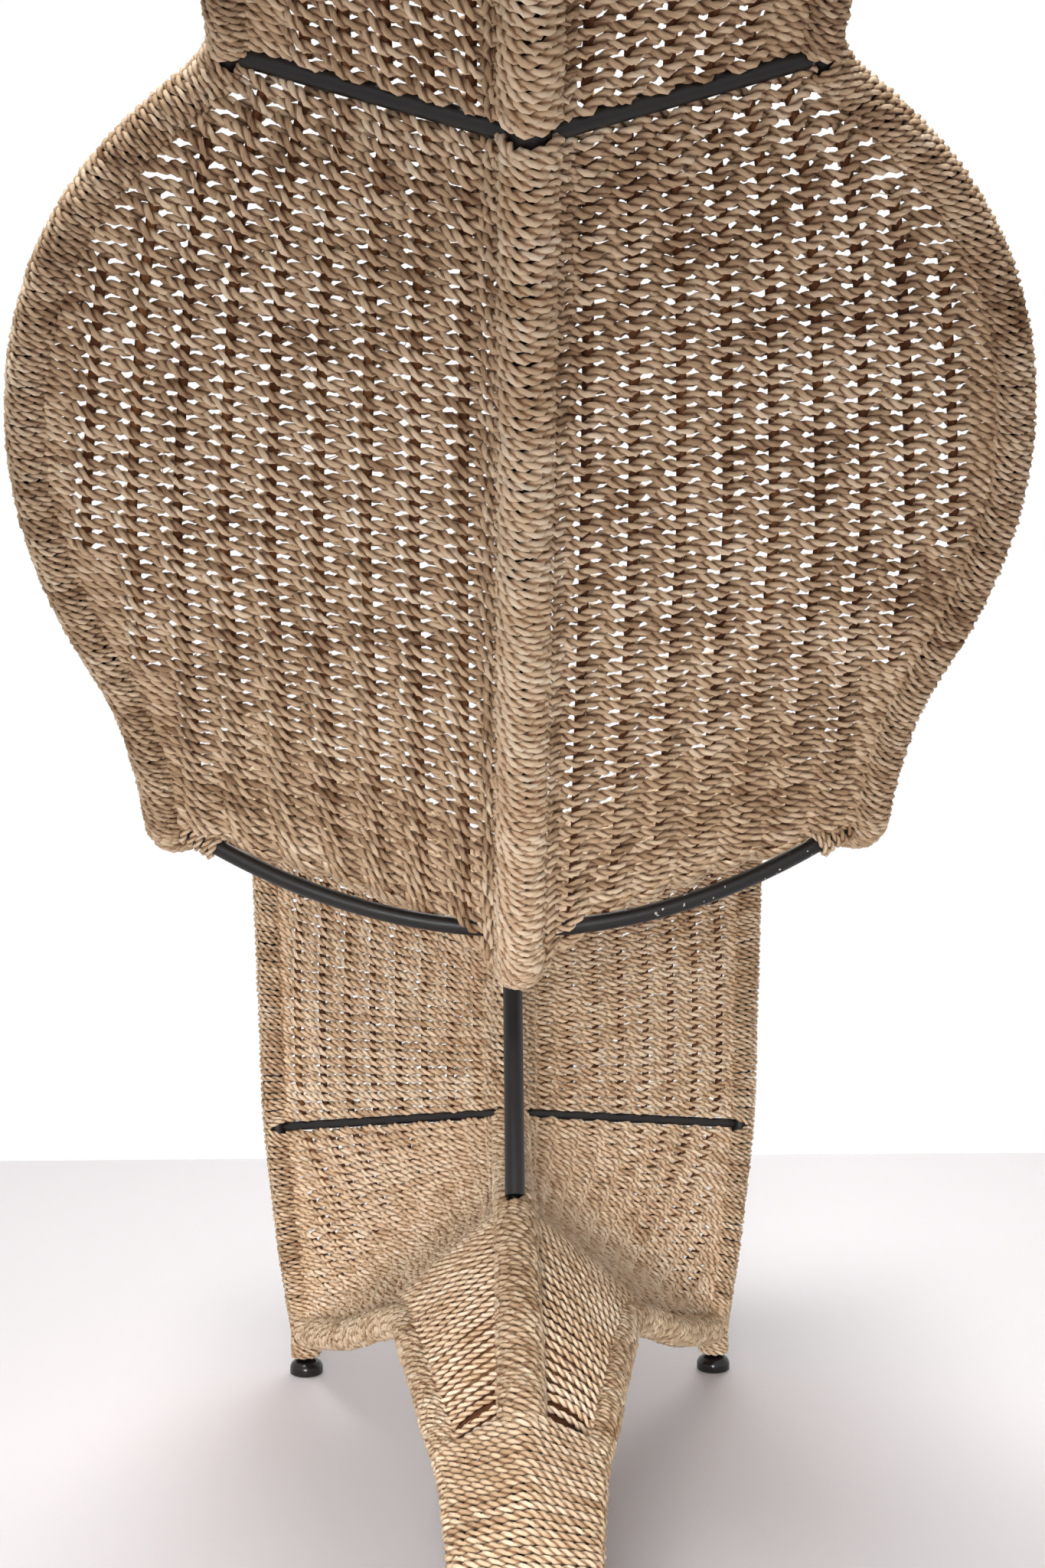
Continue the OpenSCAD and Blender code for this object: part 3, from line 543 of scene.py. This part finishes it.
def panel(spine_span, rail_span, pitch, first, gap, lift, skew):
    """Paths of the ropes and of the stakes of a right-hand panel. first and gap are functions of
    the station."""
    low, high = np.array([spine_span[0], rail_span[0]]), np.array([spine_span[1], rail_span[1]])
    count = round((high - low).mean() / pitch)
    spread = np.array(pitches(spine_span, rail_span, count)).T
    ropes, stakes = [], {}
    for t, wide in zip((np.arange(count) + 0.5) / count, spread):
        us, ur = low + (high - low) * t
        u = (us + ur) / 2
        slack = skew * dice.uniform(0.2, 1.8)
        ropes += [strand(us, ur, first(u), gap(u), side, lift, slack, wide) for side in (0, 1)]
        a, across, normal, down, near, far = row(us, ur)
        for j, x in enumerate(stakes_of(near, far, first(u), gap(u))):
            s = (x - near) / (far - near)
            stakes.setdefault(j, []).append(a + across * x + normal * sag(u) * 4 * s * (1 - s))
    return ropes, [np.array(points) for points in stakes.values() if len(points) > 2]


def steps(*pairs):
    """A value that changes evenly from station to station, in millimetres."""
    return lambda u: np.interp(u, [p[0] for p in pairs], [p[1] for p in pairs]) * MM


def mirrored(paths):
    return [path * [-1, 1, 1] for path in paths]


def laid(name, paths, stands_for, thick=1.0, material=None):
    """A piece of seagrass rope along paths."""
    piece = sweep(name, paths, ply_profile, STEP, thick, TURN, PLAY)
    return fit(piece, material or rope, stands_for)


def laid_both(name, paths, stands_for, thick=1.0, material=None):
    """A left and a right piece of rope from the right-hand paths."""
    for hand, lines in (("left", mirrored(paths)), ("right", paths)):
        laid(f"{name}_{hand}", lines, [f"{node}_{hand}" for node in stands_for], thick, material)


# The stakes take the dark finish, which is painted shade.
def stakes_both(name, paths):
    for hand, lines in (("left", mirrored(paths)), ("right", paths)):
        stakes = sweep(f"{name}_{hand}", lines, rod_profile, STAKE_STEP, STAKE_R / MM)
        fit(stakes, dark_shade_fibre)


# %% [markdown]
# The rows start beside the ribs, with room for the rib. The distances from the spine to the
# first stake and from stake to stake are read off the photograph: the stakes stand closer
# at the neck than at the hips. The shins are woven in finer rows than the back. The rope of
# the head, the back and the shins is laid a little thicker than that of the seat, which
# leaves only small windows between the rows.

# %% Headrest, back, seat and shins
STAKE_R, STAKE_STEP = 2.9 * MM, 8 * MM
RIB_ROOM, HOOP_ROOM, FOLD_ROOM, BAR_ROOM, BOW_ROOM = 5 * MM, 7 * MM, 3.5 * MM, 3.6 * MM, 14 * MM
FIRST = steps((0, 28), (NECK, 30), (MID_BACK, 34), (HIP, 36), (KNEE, 31), (BAR, 30), (STRUT_FOOT, 29))
GAP = steps((0, 21), (NECK, 22), (MID_BACK, 27.4), (HIP, 29), (KNEE, 24), (BAR, 23.5), (STRUT_FOOT, 22))


def between(u0, room0, u1, room1):
    """The stretches of the spine and of the rail between two ribs, less the room beside them."""
    return [(past(line, u0, room0), past(line, u1, -room1)) for line in (spine, rail)]


open_weave = dict(pitch=9.4 * MM, lift=4.1 * MM, skew=0.5 * MM)
close_weave = dict(pitch=8.6 * MM, lift=4.1 * MM, skew=0.5 * MM)
shin_weave = dict(close_weave, pitch=6.9 * MM)
PANELS = {
    "head": (between(0, BOW_ROOM, NECK, RIB_ROOM), "head_weave", open_weave),
    "back": (between(NECK, RIB_ROOM, HIP, FOLD_ROOM), "back_weave", open_weave),
    "seat": (between(HIP, HOOP_ROOM, KNEE, 0), "seat_weave", close_weave),
    "shin": (between(KNEE, 0, BAR, BAR_ROOM), "seat_weave", shin_weave),
}
THICK = {"head": 1.2, "back": 1.2, "seat": 1.0, "shin": 1.12}
# The browner rope of the head and the back is painted shade; the paler rope of the shins is painted
# light.
LOOK = {"head": shaded_rope, "back": shaded_rope, "seat": rope, "shin": lit_rope}
back_ropes = []
for name, (spans, node, weave) in PANELS.items():
    ropes, stakes = panel(*spans, first=FIRST, gap=GAP, **weave)
    laid_both(f"{name}_rope", ropes, [node], THICK[name], LOOK[name])
    stakes_both(f"{name}_stakes", stakes)
    if name == "back":
        back_ropes = ropes

# %% [markdown]
# ## The base
# Below the front bars the weave goes on in finer rows down to the feet and back up under the ridge,
# which makes a trough. From the foot of the strut on, the ribbon is too narrow for stakes: single ropes
# run side by side from the ridge down to the rails. Near the end of the ridge a few of them have slipped
# apart and left slits. A lower layer of rods closes the base behind them; their brown is painted shade,
# darkest where the slits are.

# %% Trough
trough_weave = dict(pitch=7.1 * MM, lift=3.4 * MM, skew=0.5 * MM)
TROUGH_END = STRUT_FOOT - 12 * MM
ropes, stakes = panel(*between(BAR, BAR_ROOM, TROUGH_END, 0), first=FIRST, gap=GAP, **trough_weave)
# The paler rope of the trough is painted light.
laid_both("trough_rope", ropes, ["base_weave"], 1.15, lit_rope)
stakes_both("trough_stakes", stakes)

# %% Nose
NOSE_PITCH, NOSE_LEAN, NOSE_STEP = 11 * MM, 14 * MM, 1.5 * MM
NOSE_THICK, NOSE_HIGH, NOSE_CROWN = 0.95, -7 * MM, 1.5 * MM
SLIP, SLIP_REACH, SLIP_EVERY = 3.0 * MM, 12 * MM, 12
SLITS = {"left": [SLIT - 30 * MM], "right": [SLIT - 38 * MM, SLIT - 18 * MM]}
LAYER_R, LAYER_STEP, DARK_ENDS = 3.6, 6 * MM, 5
FIRST_HIGH, SECOND_HIGH = -2.5 * MM, -1.5 * MM


def nose_ropes(slits, shift=0.5, deep=NOSE_HIGH):
    """Single ropes from the ridge to the rail, slipped apart at the stations of the slits. A
    lower value of deep lays them nearer the eye."""
    lines = []
    count = round((SLIT - TROUGH_END) / NOSE_PITCH)
    for t in (np.arange(count) + shift) / count:
        u = TROUGH_END + (SLIT - TROUGH_END) * t
        a, across, normal, down, near, far = row(u - NOSE_LEAN * t / 2, u + NOSE_LEAN * t / 2)
        x = np.arange(near - TUCK, far + TUCK, NOSE_STEP)
        s = np.clip((x - near) / (far - near), 0, 1)
        slip = sum(math.copysign(SLIP, u - at) * math.exp(-((u - at) / SLIP_REACH) ** 2) for at in slits)
        aside = slip * np.sin(math.pi * s) ** 0.7 + WANDER * uneven(len(x), SLIP_EVERY, -1, 1)
        high = deep - NOSE_CROWN * np.sin(math.pi * s)
        lines.append(a + np.outer(x, across) + np.outer(high, normal) + np.outer(aside, down))
    return lines


# The paler rope of the nose is painted light.
for hand, slits in SLITS.items():
    lines = nose_ropes(slits)
    lines = mirrored(lines) if hand == "left" else lines
    laid(f"nose_rope_{hand}", lines, [f"base_weave_{hand}"], NOSE_THICK, lit_rope)
# The rods of the lower layer carry painted shade, and those behind the slits carry the darkest painted
# shade.
first_layer = nose_ropes([], 0.0, FIRST_HIGH)
second_layer = nose_ropes([], 0.5, SECOND_HIGH)
upper = first_layer[:-DARK_ENDS] + second_layer[:-DARK_ENDS]
lower = first_layer[-DARK_ENDS:] + second_layer[-DARK_ENDS:]
for label, under, look in (("under", upper, shade_fibre), ("slit", lower, dark_shade_fibre)):
    for hand, lines in (("left", mirrored(under)), ("right", under)):
        layer = sweep(f"nose_{label}_{hand}", lines, rod_profile, LAYER_STEP, LAYER_R)
        fit(layer, look)

# %% [markdown]
# ## Ropes wound round the tubes
# The rows' ends are wound round the rails and the spine so closely that the steel is hidden.
# A helix does this, with three things added. It leans as the rows lean, so on the spine its
# turns hang in shallow curves. Its turns are counted on the outside of a bend, where they
# would gape. And where a rib leaves the tube, the turns part on that side and pass it by.

# %% Winding a rope round a tube
HELIX_STEP = math.radians(12)
SHIFT_EVERY, SLACK, SLACK_EVERY = 13, 0.3 * MM, 9
STEEPEST = 0.6


def winding(line_at, heading_at, side_at, u0, u1, radius, pitch, lean=None, ribs=()):
    """A helix round a tube. lean(u) is the slope of the turns towards the tail, in the direction
    of side_at, as (slope, mirrored). ribs are (station, direction, half width with the rope)."""
    def axes(u):
        t, n = heading_at(u), side_at(u)
        n = unit(n - np.sum(n * t, axis=-1, keepdims=True) * t)
        return n, np.cross(t, n)

    u = np.linspace(u0, u1, FINE)
    n, b = axes(u)
    skins = [line_at(u) + radius * side for side in (n, -n, b, -b)]
    longest = np.max([np.diff(lengths(skin)) for skin in skins], axis=0)
    far = np.concatenate([[0], np.cumsum(longest)])
    turns = far[-1] / pitch
    w = np.arange(0, 2 * math.pi * turns, HELIX_STEP)
    at = w / (2 * math.pi) * pitch + WANDER * uneven(len(w), SHIFT_EVERY, -1, 1)
    here = np.interp(at, far, u)
    if lean is not None:
        slope, mirror = lean
        swing = np.cos(w) ** 2 if mirror else -np.cos(w)
        at = at + slope(here) * radius * swing
    for rib_at, direction, room in ribs:
        n, b = axes(here)
        facing = np.clip((np.cos(w)[:, None] * n + np.sin(w)[:, None] * b) @ direction, 0, 1)
        off = at - np.interp(rib_at, u, far)
        at = at - off + np.where(off < 0, -1, 1) * np.sqrt(off**2 + room**2 * facing)
    here = np.interp(np.clip(at, 0, far[-1]), far, u)
    n, b = axes(here)
    loose = radius + SLACK * uneven(len(w), SLACK_EVERY, -1, 1)[:, None]
    return line_at(here) + loose * (np.cos(w)[:, None] * n + np.sin(w)[:, None] * b)


def lean_on(line, hang=0.0):
    """How steeply the rows cross a tube, as a slope towards the tail, less what the turns hang."""
    def slope(u):
        across = unit(place(rail, u) - place(spine, u))
        return np.clip(np.sum(across * heading(line, u), axis=-1) - hang, -STEEPEST, STEEPEST)
    return slope


# %% Side rails
RIGHT, LEFT = np.array([1, 1, 1]), np.array([-1, 1, 1])
RAIL_WIND_R, SPINE_WIND_R = 10.2 * MM, 13.4 * MM
WIND_PITCH, SPINE_PITCH = 5 * MM, 6.1 * MM
START_ROOM, MEET = 2 * MM, 9 * MM
BESIDE = ROPE_R + 0.4 * MM
PAST_RIB, PAST_BAR, PAST_BOSS = RIB_D / 2 + BESIDE, BAR_D / 2 + BESIDE, 8 * MM + BESIDE
PAST_STRUT = 7.2 * MM + BESIDE


def toward(a, b):
    return unit(np.asarray(b) - np.asarray(a))


def sideways(u):
    return np.tile([1.0, 0, 0], (len(u), 1))


def upward(u):
    return np.tile([0, 0, 1.0], (len(u), 1))


def follow(line):
    """Where a tube is at a station, and where it heads, as two functions."""
    return lambda u: place(line, u), lambda u: heading(line, u)


inward = {u: toward(place(rail, u), place(spine, u)) for u in (NECK, BAR)}
rail_ribs = [(NECK, inward[NECK], PAST_RIB), (BAR, inward[BAR], PAST_BAR),
             (FOOT, np.array([0, 0, -1.0]), PAST_BOSS)]


def rail_winding(u0, u1):
    return winding(*follow(rail), lambda u: place(spine, u) - place(rail, u), u0, u1, RAIL_WIND_R,
                   WIND_PITCH, (lean_on(rail), False), rail_ribs)


back_rail = rail_winding(START_ROOM, HIP + MEET)
# The browner rope of the back rails is painted shade.
laid_both("back_rail_rope", [back_rail], ["head_wrap", "back_wrap"], 1.0, shaded_rope)
front_rail = rail_winding(HIP - MEET, SLIT)
laid_both("front_rail_rope", [front_rail], ["seat_wrap", "shin_wrap", "wing_wrap"])

# %% Spine
strut_up = toward(place(spine, STRUT_FOOT), place(spine, STRUT_TOP))
spine_ribs = [(HIP, toward(place(spine, HIP), hoop[len(hoop) // 2]), PAST_RIB)]
for station, room in ((NECK, PAST_RIB), (BAR, PAST_BAR)):
    spine_ribs += [(station, -inward[station] * side, room) for side in (RIGHT, LEFT)]
spine_ribs += [(STRUT_TOP, -strut_up, PAST_STRUT), (STRUT_FOOT, strut_up, PAST_STRUT)]
UNDER_BOW, NECK_BARE, LAP = 3 * MM, 0.4 * MM, 4 * MM
SPINE_THICK, SPINE_HANG = 1.2, 0.3
SPINE_PIECES = {
    "head_spine_rope": (past(spine, 0, UNDER_BOW), past(spine, NECK, -NECK_BARE), ["head_spine_wrap"]),
    "back_spine_rope": (past(spine, NECK, NECK_BARE), STRUT_TOP, ["back_spine_wrap", "seat_spine_wrap"]),
    "ridge_spine_rope": (STRUT_TOP - LAP, STRUT_FOOT, ["knee_spine_wrap", "ridge_spine_wrap"]),
    "nose_spine_rope": (STRUT_FOOT - LAP, SLIT, ["nose_spine_wrap"]),
}
# The spine's rope is the paler one, painted light, except on the nose.
for name, (u0, u1, nodes) in SPINE_PIECES.items():
    path = winding(*follow(spine), sideways, u0, u1, SPINE_WIND_R, SPINE_PITCH,
                   (lean_on(spine, SPINE_HANG), True), spine_ribs)
    laid(name, [path], nodes, SPINE_THICK, rope if name == "nose_spine_rope" else lit_rope)

# %% [markdown]
# The hoop comes out of the corners of the hips, where rope also covers its first stretch. The
# head bow is wound from its middle outward. Where it meets the rails, the turns on both tubes
# would leave a wedge open on the outside, so a third short winding follows a rounded path
# across the corner.

# %% Hoop ends
hoop_run = lengths(hoop)
HOOP_FROM, HOOP_TO, HOOP_WIND_R, HOOP_THICK = 4 * MM, 30 * MM, RIB_D / 2 + 2.3 * MM, 0.9


def hoop_at(u):
    return along(hoop, hoop_run, u)


def hoop_heading(u):
    return unit(hoop_at(u + NUDGE) - hoop_at(np.maximum(u - NUDGE, 0)))


hoop_wrap = winding(hoop_at, hoop_heading, upward, HOOP_FROM, HOOP_TO, HOOP_WIND_R, WIND_PITCH)
laid_both("hoop_end_rope", [hoop_wrap], [], HOOP_THICK)

# %% Head bow
half_bow = bow[:len(bow) // 2 + 1][::-1]
bow_run = lengths(half_bow)
ELBOW = 6 * MM


def bow_at(u):
    return along(half_bow, bow_run, u)


def bow_heading(u):
    return unit(bow_at(np.minimum(u + NUDGE, bow_run[-1])) - bow_at(np.maximum(u - NUDGE, 0)))


bow_path = winding(bow_at, bow_heading, upward, 0.0, bow_run[-1], RAIL_WIND_R, WIND_PITCH)
elbow = [bow_at(bow_run[-1] - ELBOW), place(rail, 0.0), place(rail, ELBOW)]


def elbow_at(t):
    """A point of the rounded corner between the bow and the rail."""
    t = np.asarray(t)[..., None]
    return elbow[0] * (1 - t)**2 + elbow[1] * 2 * t * (1 - t) + elbow[2] * t**2


def elbow_heading(t):
    """The direction of that corner's path."""
    t = np.asarray(t)[..., None]
    return unit((elbow[1] - elbow[0]) * (1 - t) + (elbow[2] - elbow[1]) * t)


elbow_path = winding(elbow_at, elbow_heading, upward, 0.0, 1.0, RAIL_WIND_R, WIND_PITCH)
laid_both("bow_rope", [bow_path, elbow_path], ["bow_wrap"])

# %% [markdown]
# ## The tail
# Behind the base the three tubes lie side by side and one rope binds them all. A rope pulled
# tight round several tubes touches only the outermost one in each direction, so for every
# direction the tube that reaches farthest carries the rope.

# %% Winding round three tubes
TAIL_STEP, TAIL_THICK = math.radians(6), 1.08
TAIL_R = ROPE_R * TAIL_THICK
GRIP, OFF_FLOOR = 0.6 * MM, 1.1


def bound(u0, u1, rope_r, pitch):
    """A rope wound tightly round both rails and the spine, from station u0 on."""
    u = np.linspace(u0, u1, FINE // 2)
    far = lengths((place(spine, u) + place(rail, u) * [0, 1, 1]) / 2)
    w = np.arange(0, 2 * math.pi * far[-1] / pitch, TAIL_STEP)
    here = np.interp(w / (2 * math.pi) * pitch, far, u)
    up = unit(np.cross(heading(spine, here), [1.0, 0, 0]))
    n = np.cos(w)[:, None] * [1.0, 0, 0] + np.sin(w)[:, None] * up
    lift = rope_r + GRIP
    right = place(rail, here)
    tubes = [(right, RAIL_D / 2), (right * LEFT, RAIL_D / 2), (place(spine, here), SPINE_D / 2)]
    reach = np.array([np.sum(p * n, axis=1) + r for p, r in tubes])
    path = np.choose(reach.argmax(axis=0)[:, None], [p + n * (r + lift) for p, r in tubes])
    path[:, 2] = np.maximum(path[:, 2], rope_r * OFF_FLOOR)
    return path


# %% The bound tail
tail_start, tail_mid = np.sort(nearest(spine, corners("tail_winding")))[[0, -1]]
tail_end = float(nearest(spine, corners("tail_wrap")).max())
upper_turns = bound(tail_start, tail_mid, TAIL_R, 6.1 * MM)
laid("tail_winding_rope", [upper_turns], ["tail_winding"], TAIL_THICK)
lower_turns = bound(tail_mid - LAP, tail_end, TAIL_R, 5.8 * MM)
laid("tail_rest_rope", [lower_turns], ["tail_wrap"], TAIL_THICK)

# %% [markdown]
# ## The feet
# A few turns of the same rope are wound round each boss, so the fold ends in a soft knob
# close above the glide. The boss stands still, so the collar doesn't hinder the glide.

# %% Collars round the bosses
boss = corners("foot_boss_right")
boss_middle, boss_r = boss.mean(axis=0), np.ptp(boss[:, 0]) / 2
COLLAR_TURNS, COLLAR_OVER, COLLAR_UNDER, COLLAR_GAP = 4.2, 2 * MM, 3.2 * MM, 0.2 * MM
w = np.arange(0, 2 * math.pi * COLLAR_TURNS, HELIX_STEP)
drop = np.linspace(boss[:, 2].max() + COLLAR_OVER, boss[:, 2].min() - COLLAR_UNDER, len(w))
around = (boss_r + ROPE_R + COLLAR_GAP) * np.column_stack([np.cos(w), np.sin(w)])
collar = np.column_stack([boss_middle[:2] + around, drop])
print("the boss is", round(2 * boss_r / MM, 1), "mm thick")
laid_both("foot_collar_rope", [collar], [])

# %% [markdown]
# ## Loose fibres
# A few fibres have worked loose from the rope and stand off it in short curls. Each is a
# thin rod on a small arc that starts and ends near a rope. On one side of the back a tuft of
# longer ends stands off the weave. All of them are one mesh, because they are one finish.

# %% Short curls
CURL_LENGTH, CURL_HEIGHT, FRAY = (5, 15), (1, 3.5), 0.3 * MM


def curl(start, direction, outward, length, height):
    """An arc that leaves the rope, stands off and comes back half way."""
    t = np.linspace(0, 1, 7)[:, None]
    return start + direction * length * t + outward * height * (t * (1.5 - t)) * 2


def curls(paths, count):
    """Short fibres at random places of the paths, on both sides of the chair."""
    lines = []
    for path, where, hand in zip(dice.choice(len(paths), count), dice.uniform(0.05, 0.95, count),
                                 dice.choice([-1, 1], count)):
        points = paths[path]
        k = int(where * (len(points) - 2))
        ahead = unit(points[k + 1] - points[k] + dice.normal(0, FRAY, 3))
        outward = unit(np.cross(ahead, dice.normal(0, 1, 3)))
        start = points[k] + outward * ROPE_R * 0.9
        length, height = dice.uniform(*CURL_LENGTH) * MM, dice.uniform(*CURL_HEIGHT) * MM
        fibre = curl(start, ahead, outward, length, height)
        lines.append(fibre * [hand, 1, 1])
    return lines


# %% The tuft and all loose fibres
BACKWARD, TUFT_NEAR = np.array([0, -1.0, 0]), np.array([-0.197, -0.25, 0.711])
TUFT = [((0.2, -0.3, 1), 24 * MM), ((0.9, -0.4, 0.4), 16 * MM), ((-0.6, -0.4, 0.8), 14 * MM)]
FIBRE_R, FIBRE_STEP = 0.22, 3 * MM
BACK_CURLS, BASE_CURLS = 110, 40


def tuft(at, ends):
    """Longer ends that stand off the back of the weave at one place."""
    return [curl(at, unit(np.array(aim)), BACKWARD, length, 6 * MM) for aim, length in ends]


def off(path):
    """How far each point of a path lies from the tuft's place."""
    return np.abs(path - TUFT_NEAR).sum(axis=1)


strays = curls(back_ropes, BACK_CURLS) + curls(nose_ropes([]), BASE_CURLS)
behind = min(mirrored(back_ropes), key=lambda path: off(path).min())
strays += tuft(behind[off(behind).argmin()], TUFT)
fit(sweep("loose_fibres", strays, rod_profile, FIBRE_STEP, FIBRE_R), rope)

# %% [markdown]
# ## Black steel
# The bare parts of the frame are painted black with a satin gloss. Paint on round steel is
# never quite even, so a fine noise moves its relief, and a few chips show bright metal on the
# hoop. The glides are the same black with more gloss. The tubes and the hoop are swept again
# with more sides, so that they are round where no rope covers them.

# %% Paint
NONE, ALL = (0, 0, 0, 1), (1, 1, 1, 1)


def paint(name, rough, chips=0.0):
    """Black paint. chips is the noise level above which bare metal shows, on the right only."""
    material, tree, shader = painted(name)
    here = add(tree, "TexCoord").outputs["Object"]
    grain = add(tree, "TexNoise", ("Vector", here), Scale=420.0, Detail=3.0)
    cloud = add(tree, "TexNoise", ("Vector", here), Scale=28.0, Detail=3.0)
    bump = add(tree, "Bump", ("Height", grain.outputs["Fac"]), Strength=0.2, Distance=0.0003)
    tree.links.new(bump.outputs[0], shader.inputs["Normal"])
    spread = add(tree, "MapRange", ("Value", cloud.outputs["Fac"]))
    spread.inputs["To Min"].default_value = rough - 0.08
    spread.inputs["To Max"].default_value = rough + 0.12
    tree.links.new(spread.outputs[0], shader.inputs["Roughness"])
    shader.inputs["Specular IOR Level"].default_value = 0.35
    black = ramp(tree, cloud.outputs["Fac"], (0.3, srgb(20, 18, 18)), (0.7, srgb(31, 28, 27)))
    if chips:
        flecks = add(tree, "TexNoise", ("Vector", here), Scale=260.0, Detail=1.0)
        spot = ramp(tree, flecks.outputs["Fac"], (chips, NONE), (chips + 0.02, ALL))
        side = add(tree, "SeparateXYZ", (0, here)).outputs["X"]
        right = ramp(tree, share(tree, side, 5.0), (0.3, NONE), (0.45, ALL))
        spot = add(tree, "Math", (0, spot), (1, right), operation="MULTIPLY").outputs[0]
        mix = add(tree, "MixRGB", (0, spot), (1, black))
        mix.inputs[2].default_value = srgb(196, 194, 190)
        black = mix.outputs[0]
    tree.links.new(black, shader.inputs["Base Color"])
    return material


satin_black = paint("satin_black", 0.42)
chipped_black = paint("chipped_black", 0.4, chips=0.7)
gloss_black = paint("gloss_black", 0.22)
print("paint finishes made")

# %% Round tubes and hoop
HOOP_STEP, TUBE_STEP = 4 * MM, 8 * MM
hoop_path = hoop_at(np.linspace(0, hoop_run[-1], 81))
hoop_bar = sweep("hip_hoop_bar", [hoop_path], round_profile, HOOP_STEP, RIB_D / 2 / MM)
fit(hoop_bar, chipped_black, ["hip_hoop"])
TUBES = {
    "rail_tube_left": (rail, LEFT, RAIL_D, "rail_left"),
    "rail_tube_right": (rail, RIGHT, RAIL_D, "rail_right"),
    "spine_tube_smooth": (spine, RIGHT, SPINE_D, "spine_tube"),
}
for name, (line, side, thick, node) in TUBES.items():
    path = place(line, np.linspace(0, LAST, 600)) * side
    tube = sweep(name, [path], round_profile, TUBE_STEP, thick / 2 / MM)
    fit(tube, satin_black, [node])

# %% [markdown]
# ## Domed glides
# Each glide is a disc with a rounded top that runs up to its stem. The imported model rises
# there in straight slopes, so the rounded top is laid over it. Its outline is a line of radii
# and heights in millimetres, and bmesh spins it round the stem, which keeps it truly round.

# %% Rounded tops
DOME = [(0.2, 1.2), (13.2, 1.2), (14, 3), (13.9, 6.4), (12.4, 9.6), (9.2, 12), (5.5, 13.2), (4.3, 13.4)]


def dome(name, middle, body):
    """The rounded top of a glide, turned round the stem."""
    shape = bmesh.new()
    edge = [shape.verts.new((middle[0] + r * MM, middle[1], z * MM)) for r, z in DOME]
    line = [shape.edges.new(pair) for pair in zip(edge, edge[1:])]
    bmesh.ops.spin(shape, geom=edge + line, cent=(middle[0], middle[1], 0), axis=(0, 0, 1),
                   angle=2 * math.pi, steps=32)
    bmesh.ops.remove_doubles(shape, verts=shape.verts, dist=WELD)
    bmesh.ops.recalc_face_normals(shape, faces=shape.faces)
    mesh = bpy.data.meshes.new(name)
    shape.to_mesh(mesh)
    shape.free()
    mesh.shade_smooth()
    thing = bpy.data.objects.new(name, mesh)
    bpy.context.scene.collection.objects.link(thing)
    return fit(thing, gloss_black, (), body)


dome("glide_dome_left", boss_middle * LEFT, "glide_left")
dome("glide_dome_right", boss_middle, "glide_right")

# %% [markdown]
# ## The parts that stay
# The ribs, the bows, the strut, the bosses and the glides' stems and discs are simple round
# parts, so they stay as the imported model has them. They only get their paint, with more
# gloss on the feet.

# %% Paint on the CAD nodes that stay
for name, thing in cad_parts.items():
    if thing.hide_render:
        continue
    glossy = name.startswith(("glide", "foot_boss"))
    thing.data.materials.clear()
    thing.data.materials.append(gloss_black if glossy else satin_black)
print("painted the CAD nodes that stay")

# %% [markdown]
# ## Light, floor and background
# The chair stands on a plain pale floor before white. The world gives even light. A large
# soft lamp high above gives the ropes their shadows, a weak one in front softens them, a low
# one with a grid lights the base alone, and one behind the chair lifts the seat and the
# shins. Camera, mirror and glass rays see plain white, so the background doesn't change the
# light on the chair.

# %% Floor
bpy.ops.mesh.primitive_plane_add(size=1)
floor = bpy.context.object
floor.name = "floor"
floor.scale = (9, 6, 1)
floor.location = (0, -1.77, 0)
floor_material, tree, shader = painted("floor_paint")
shader.inputs["Roughness"].default_value = 0.6
here = add(tree, "TexCoord").outputs["Object"]
cloud = add(tree, "TexNoise", ("Vector", here), Scale=3.0, Detail=2.0)
tree.links.new(ramp(tree, cloud.outputs["Fac"], (0.3, srgb(222, 217, 218)), (0.7, srgb(230, 226, 227))),
               shader.inputs["Base Color"])
floor.data.materials.append(floor_material)
print("floor made")

# %% World and lamps
world = bpy.data.worlds.new("studio")
bpy.context.scene.world = world
world.use_nodes = True
tree = world.node_tree
tree.nodes.clear()
light = add(tree, "Background", Color=(1, 1, 1, 1), Strength=0.33)
seen = add(tree, "Background", Color=(1, 1, 1, 1), Strength=1.0)
ray = add(tree, "LightPath")
direct, mirror, glass = (ray.outputs[f"Is {kind} Ray"] for kind in ("Camera", "Glossy", "Transmission"))
either = add(tree, "Math", (0, direct), (1, mirror), operation="MAXIMUM")
clear = add(tree, "Math", (0, either.outputs[0]), (1, glass), operation="MAXIMUM")
mix = add(tree, "MixShader", (0, clear.outputs[0]), (1, light.outputs[0]), (2, seen.outputs[0]))
tree.links.new(mix.outputs[0], add(tree, "OutputWorld").inputs["Surface"])


def lamp(name, at, target, size, power, spread=180):
    """A square soft lamp aimed at a point. A grid keeps its light within spread degrees."""
    data = bpy.data.lights.new(name, "AREA")
    data.spread = math.radians(spread)
    data.shape = "SQUARE"
    data.size = size
    data.energy = power
    thing = bpy.data.objects.new(name, data)
    bpy.context.scene.collection.objects.link(thing)
    thing.location = at
    aim = np.array(target) - np.array(at)
    tip = math.atan2(math.hypot(aim[0], aim[1]), -aim[2])
    thing.rotation_euler = (tip, 0, math.atan2(-aim[0], aim[1]))
    return thing


lamp("front", (-0.5, -3.0, 1.5), (0, 0, 0.5), 1.6, 8)
lamp("low", (-0.3, -2.7, 0.55), (0, 0.3, -0.1), 0.7, 2.4, 28)
lamp("top", (-0.4, -1.2, 3.6), (0, -0.1, 0.3), 1.5, 120)
lamp("rear", (0.6, 2.6, 2.2), (0, 0, 0.4), 1.6, 26)
bpy.context.scene.view_settings.view_transform = "Standard"
print("light made")

# %% Removing the profile helpers
for helper in ("ply_profile", "rod_profile", "round_profile"):
    bpy.data.objects.remove(bpy.data.objects[helper])
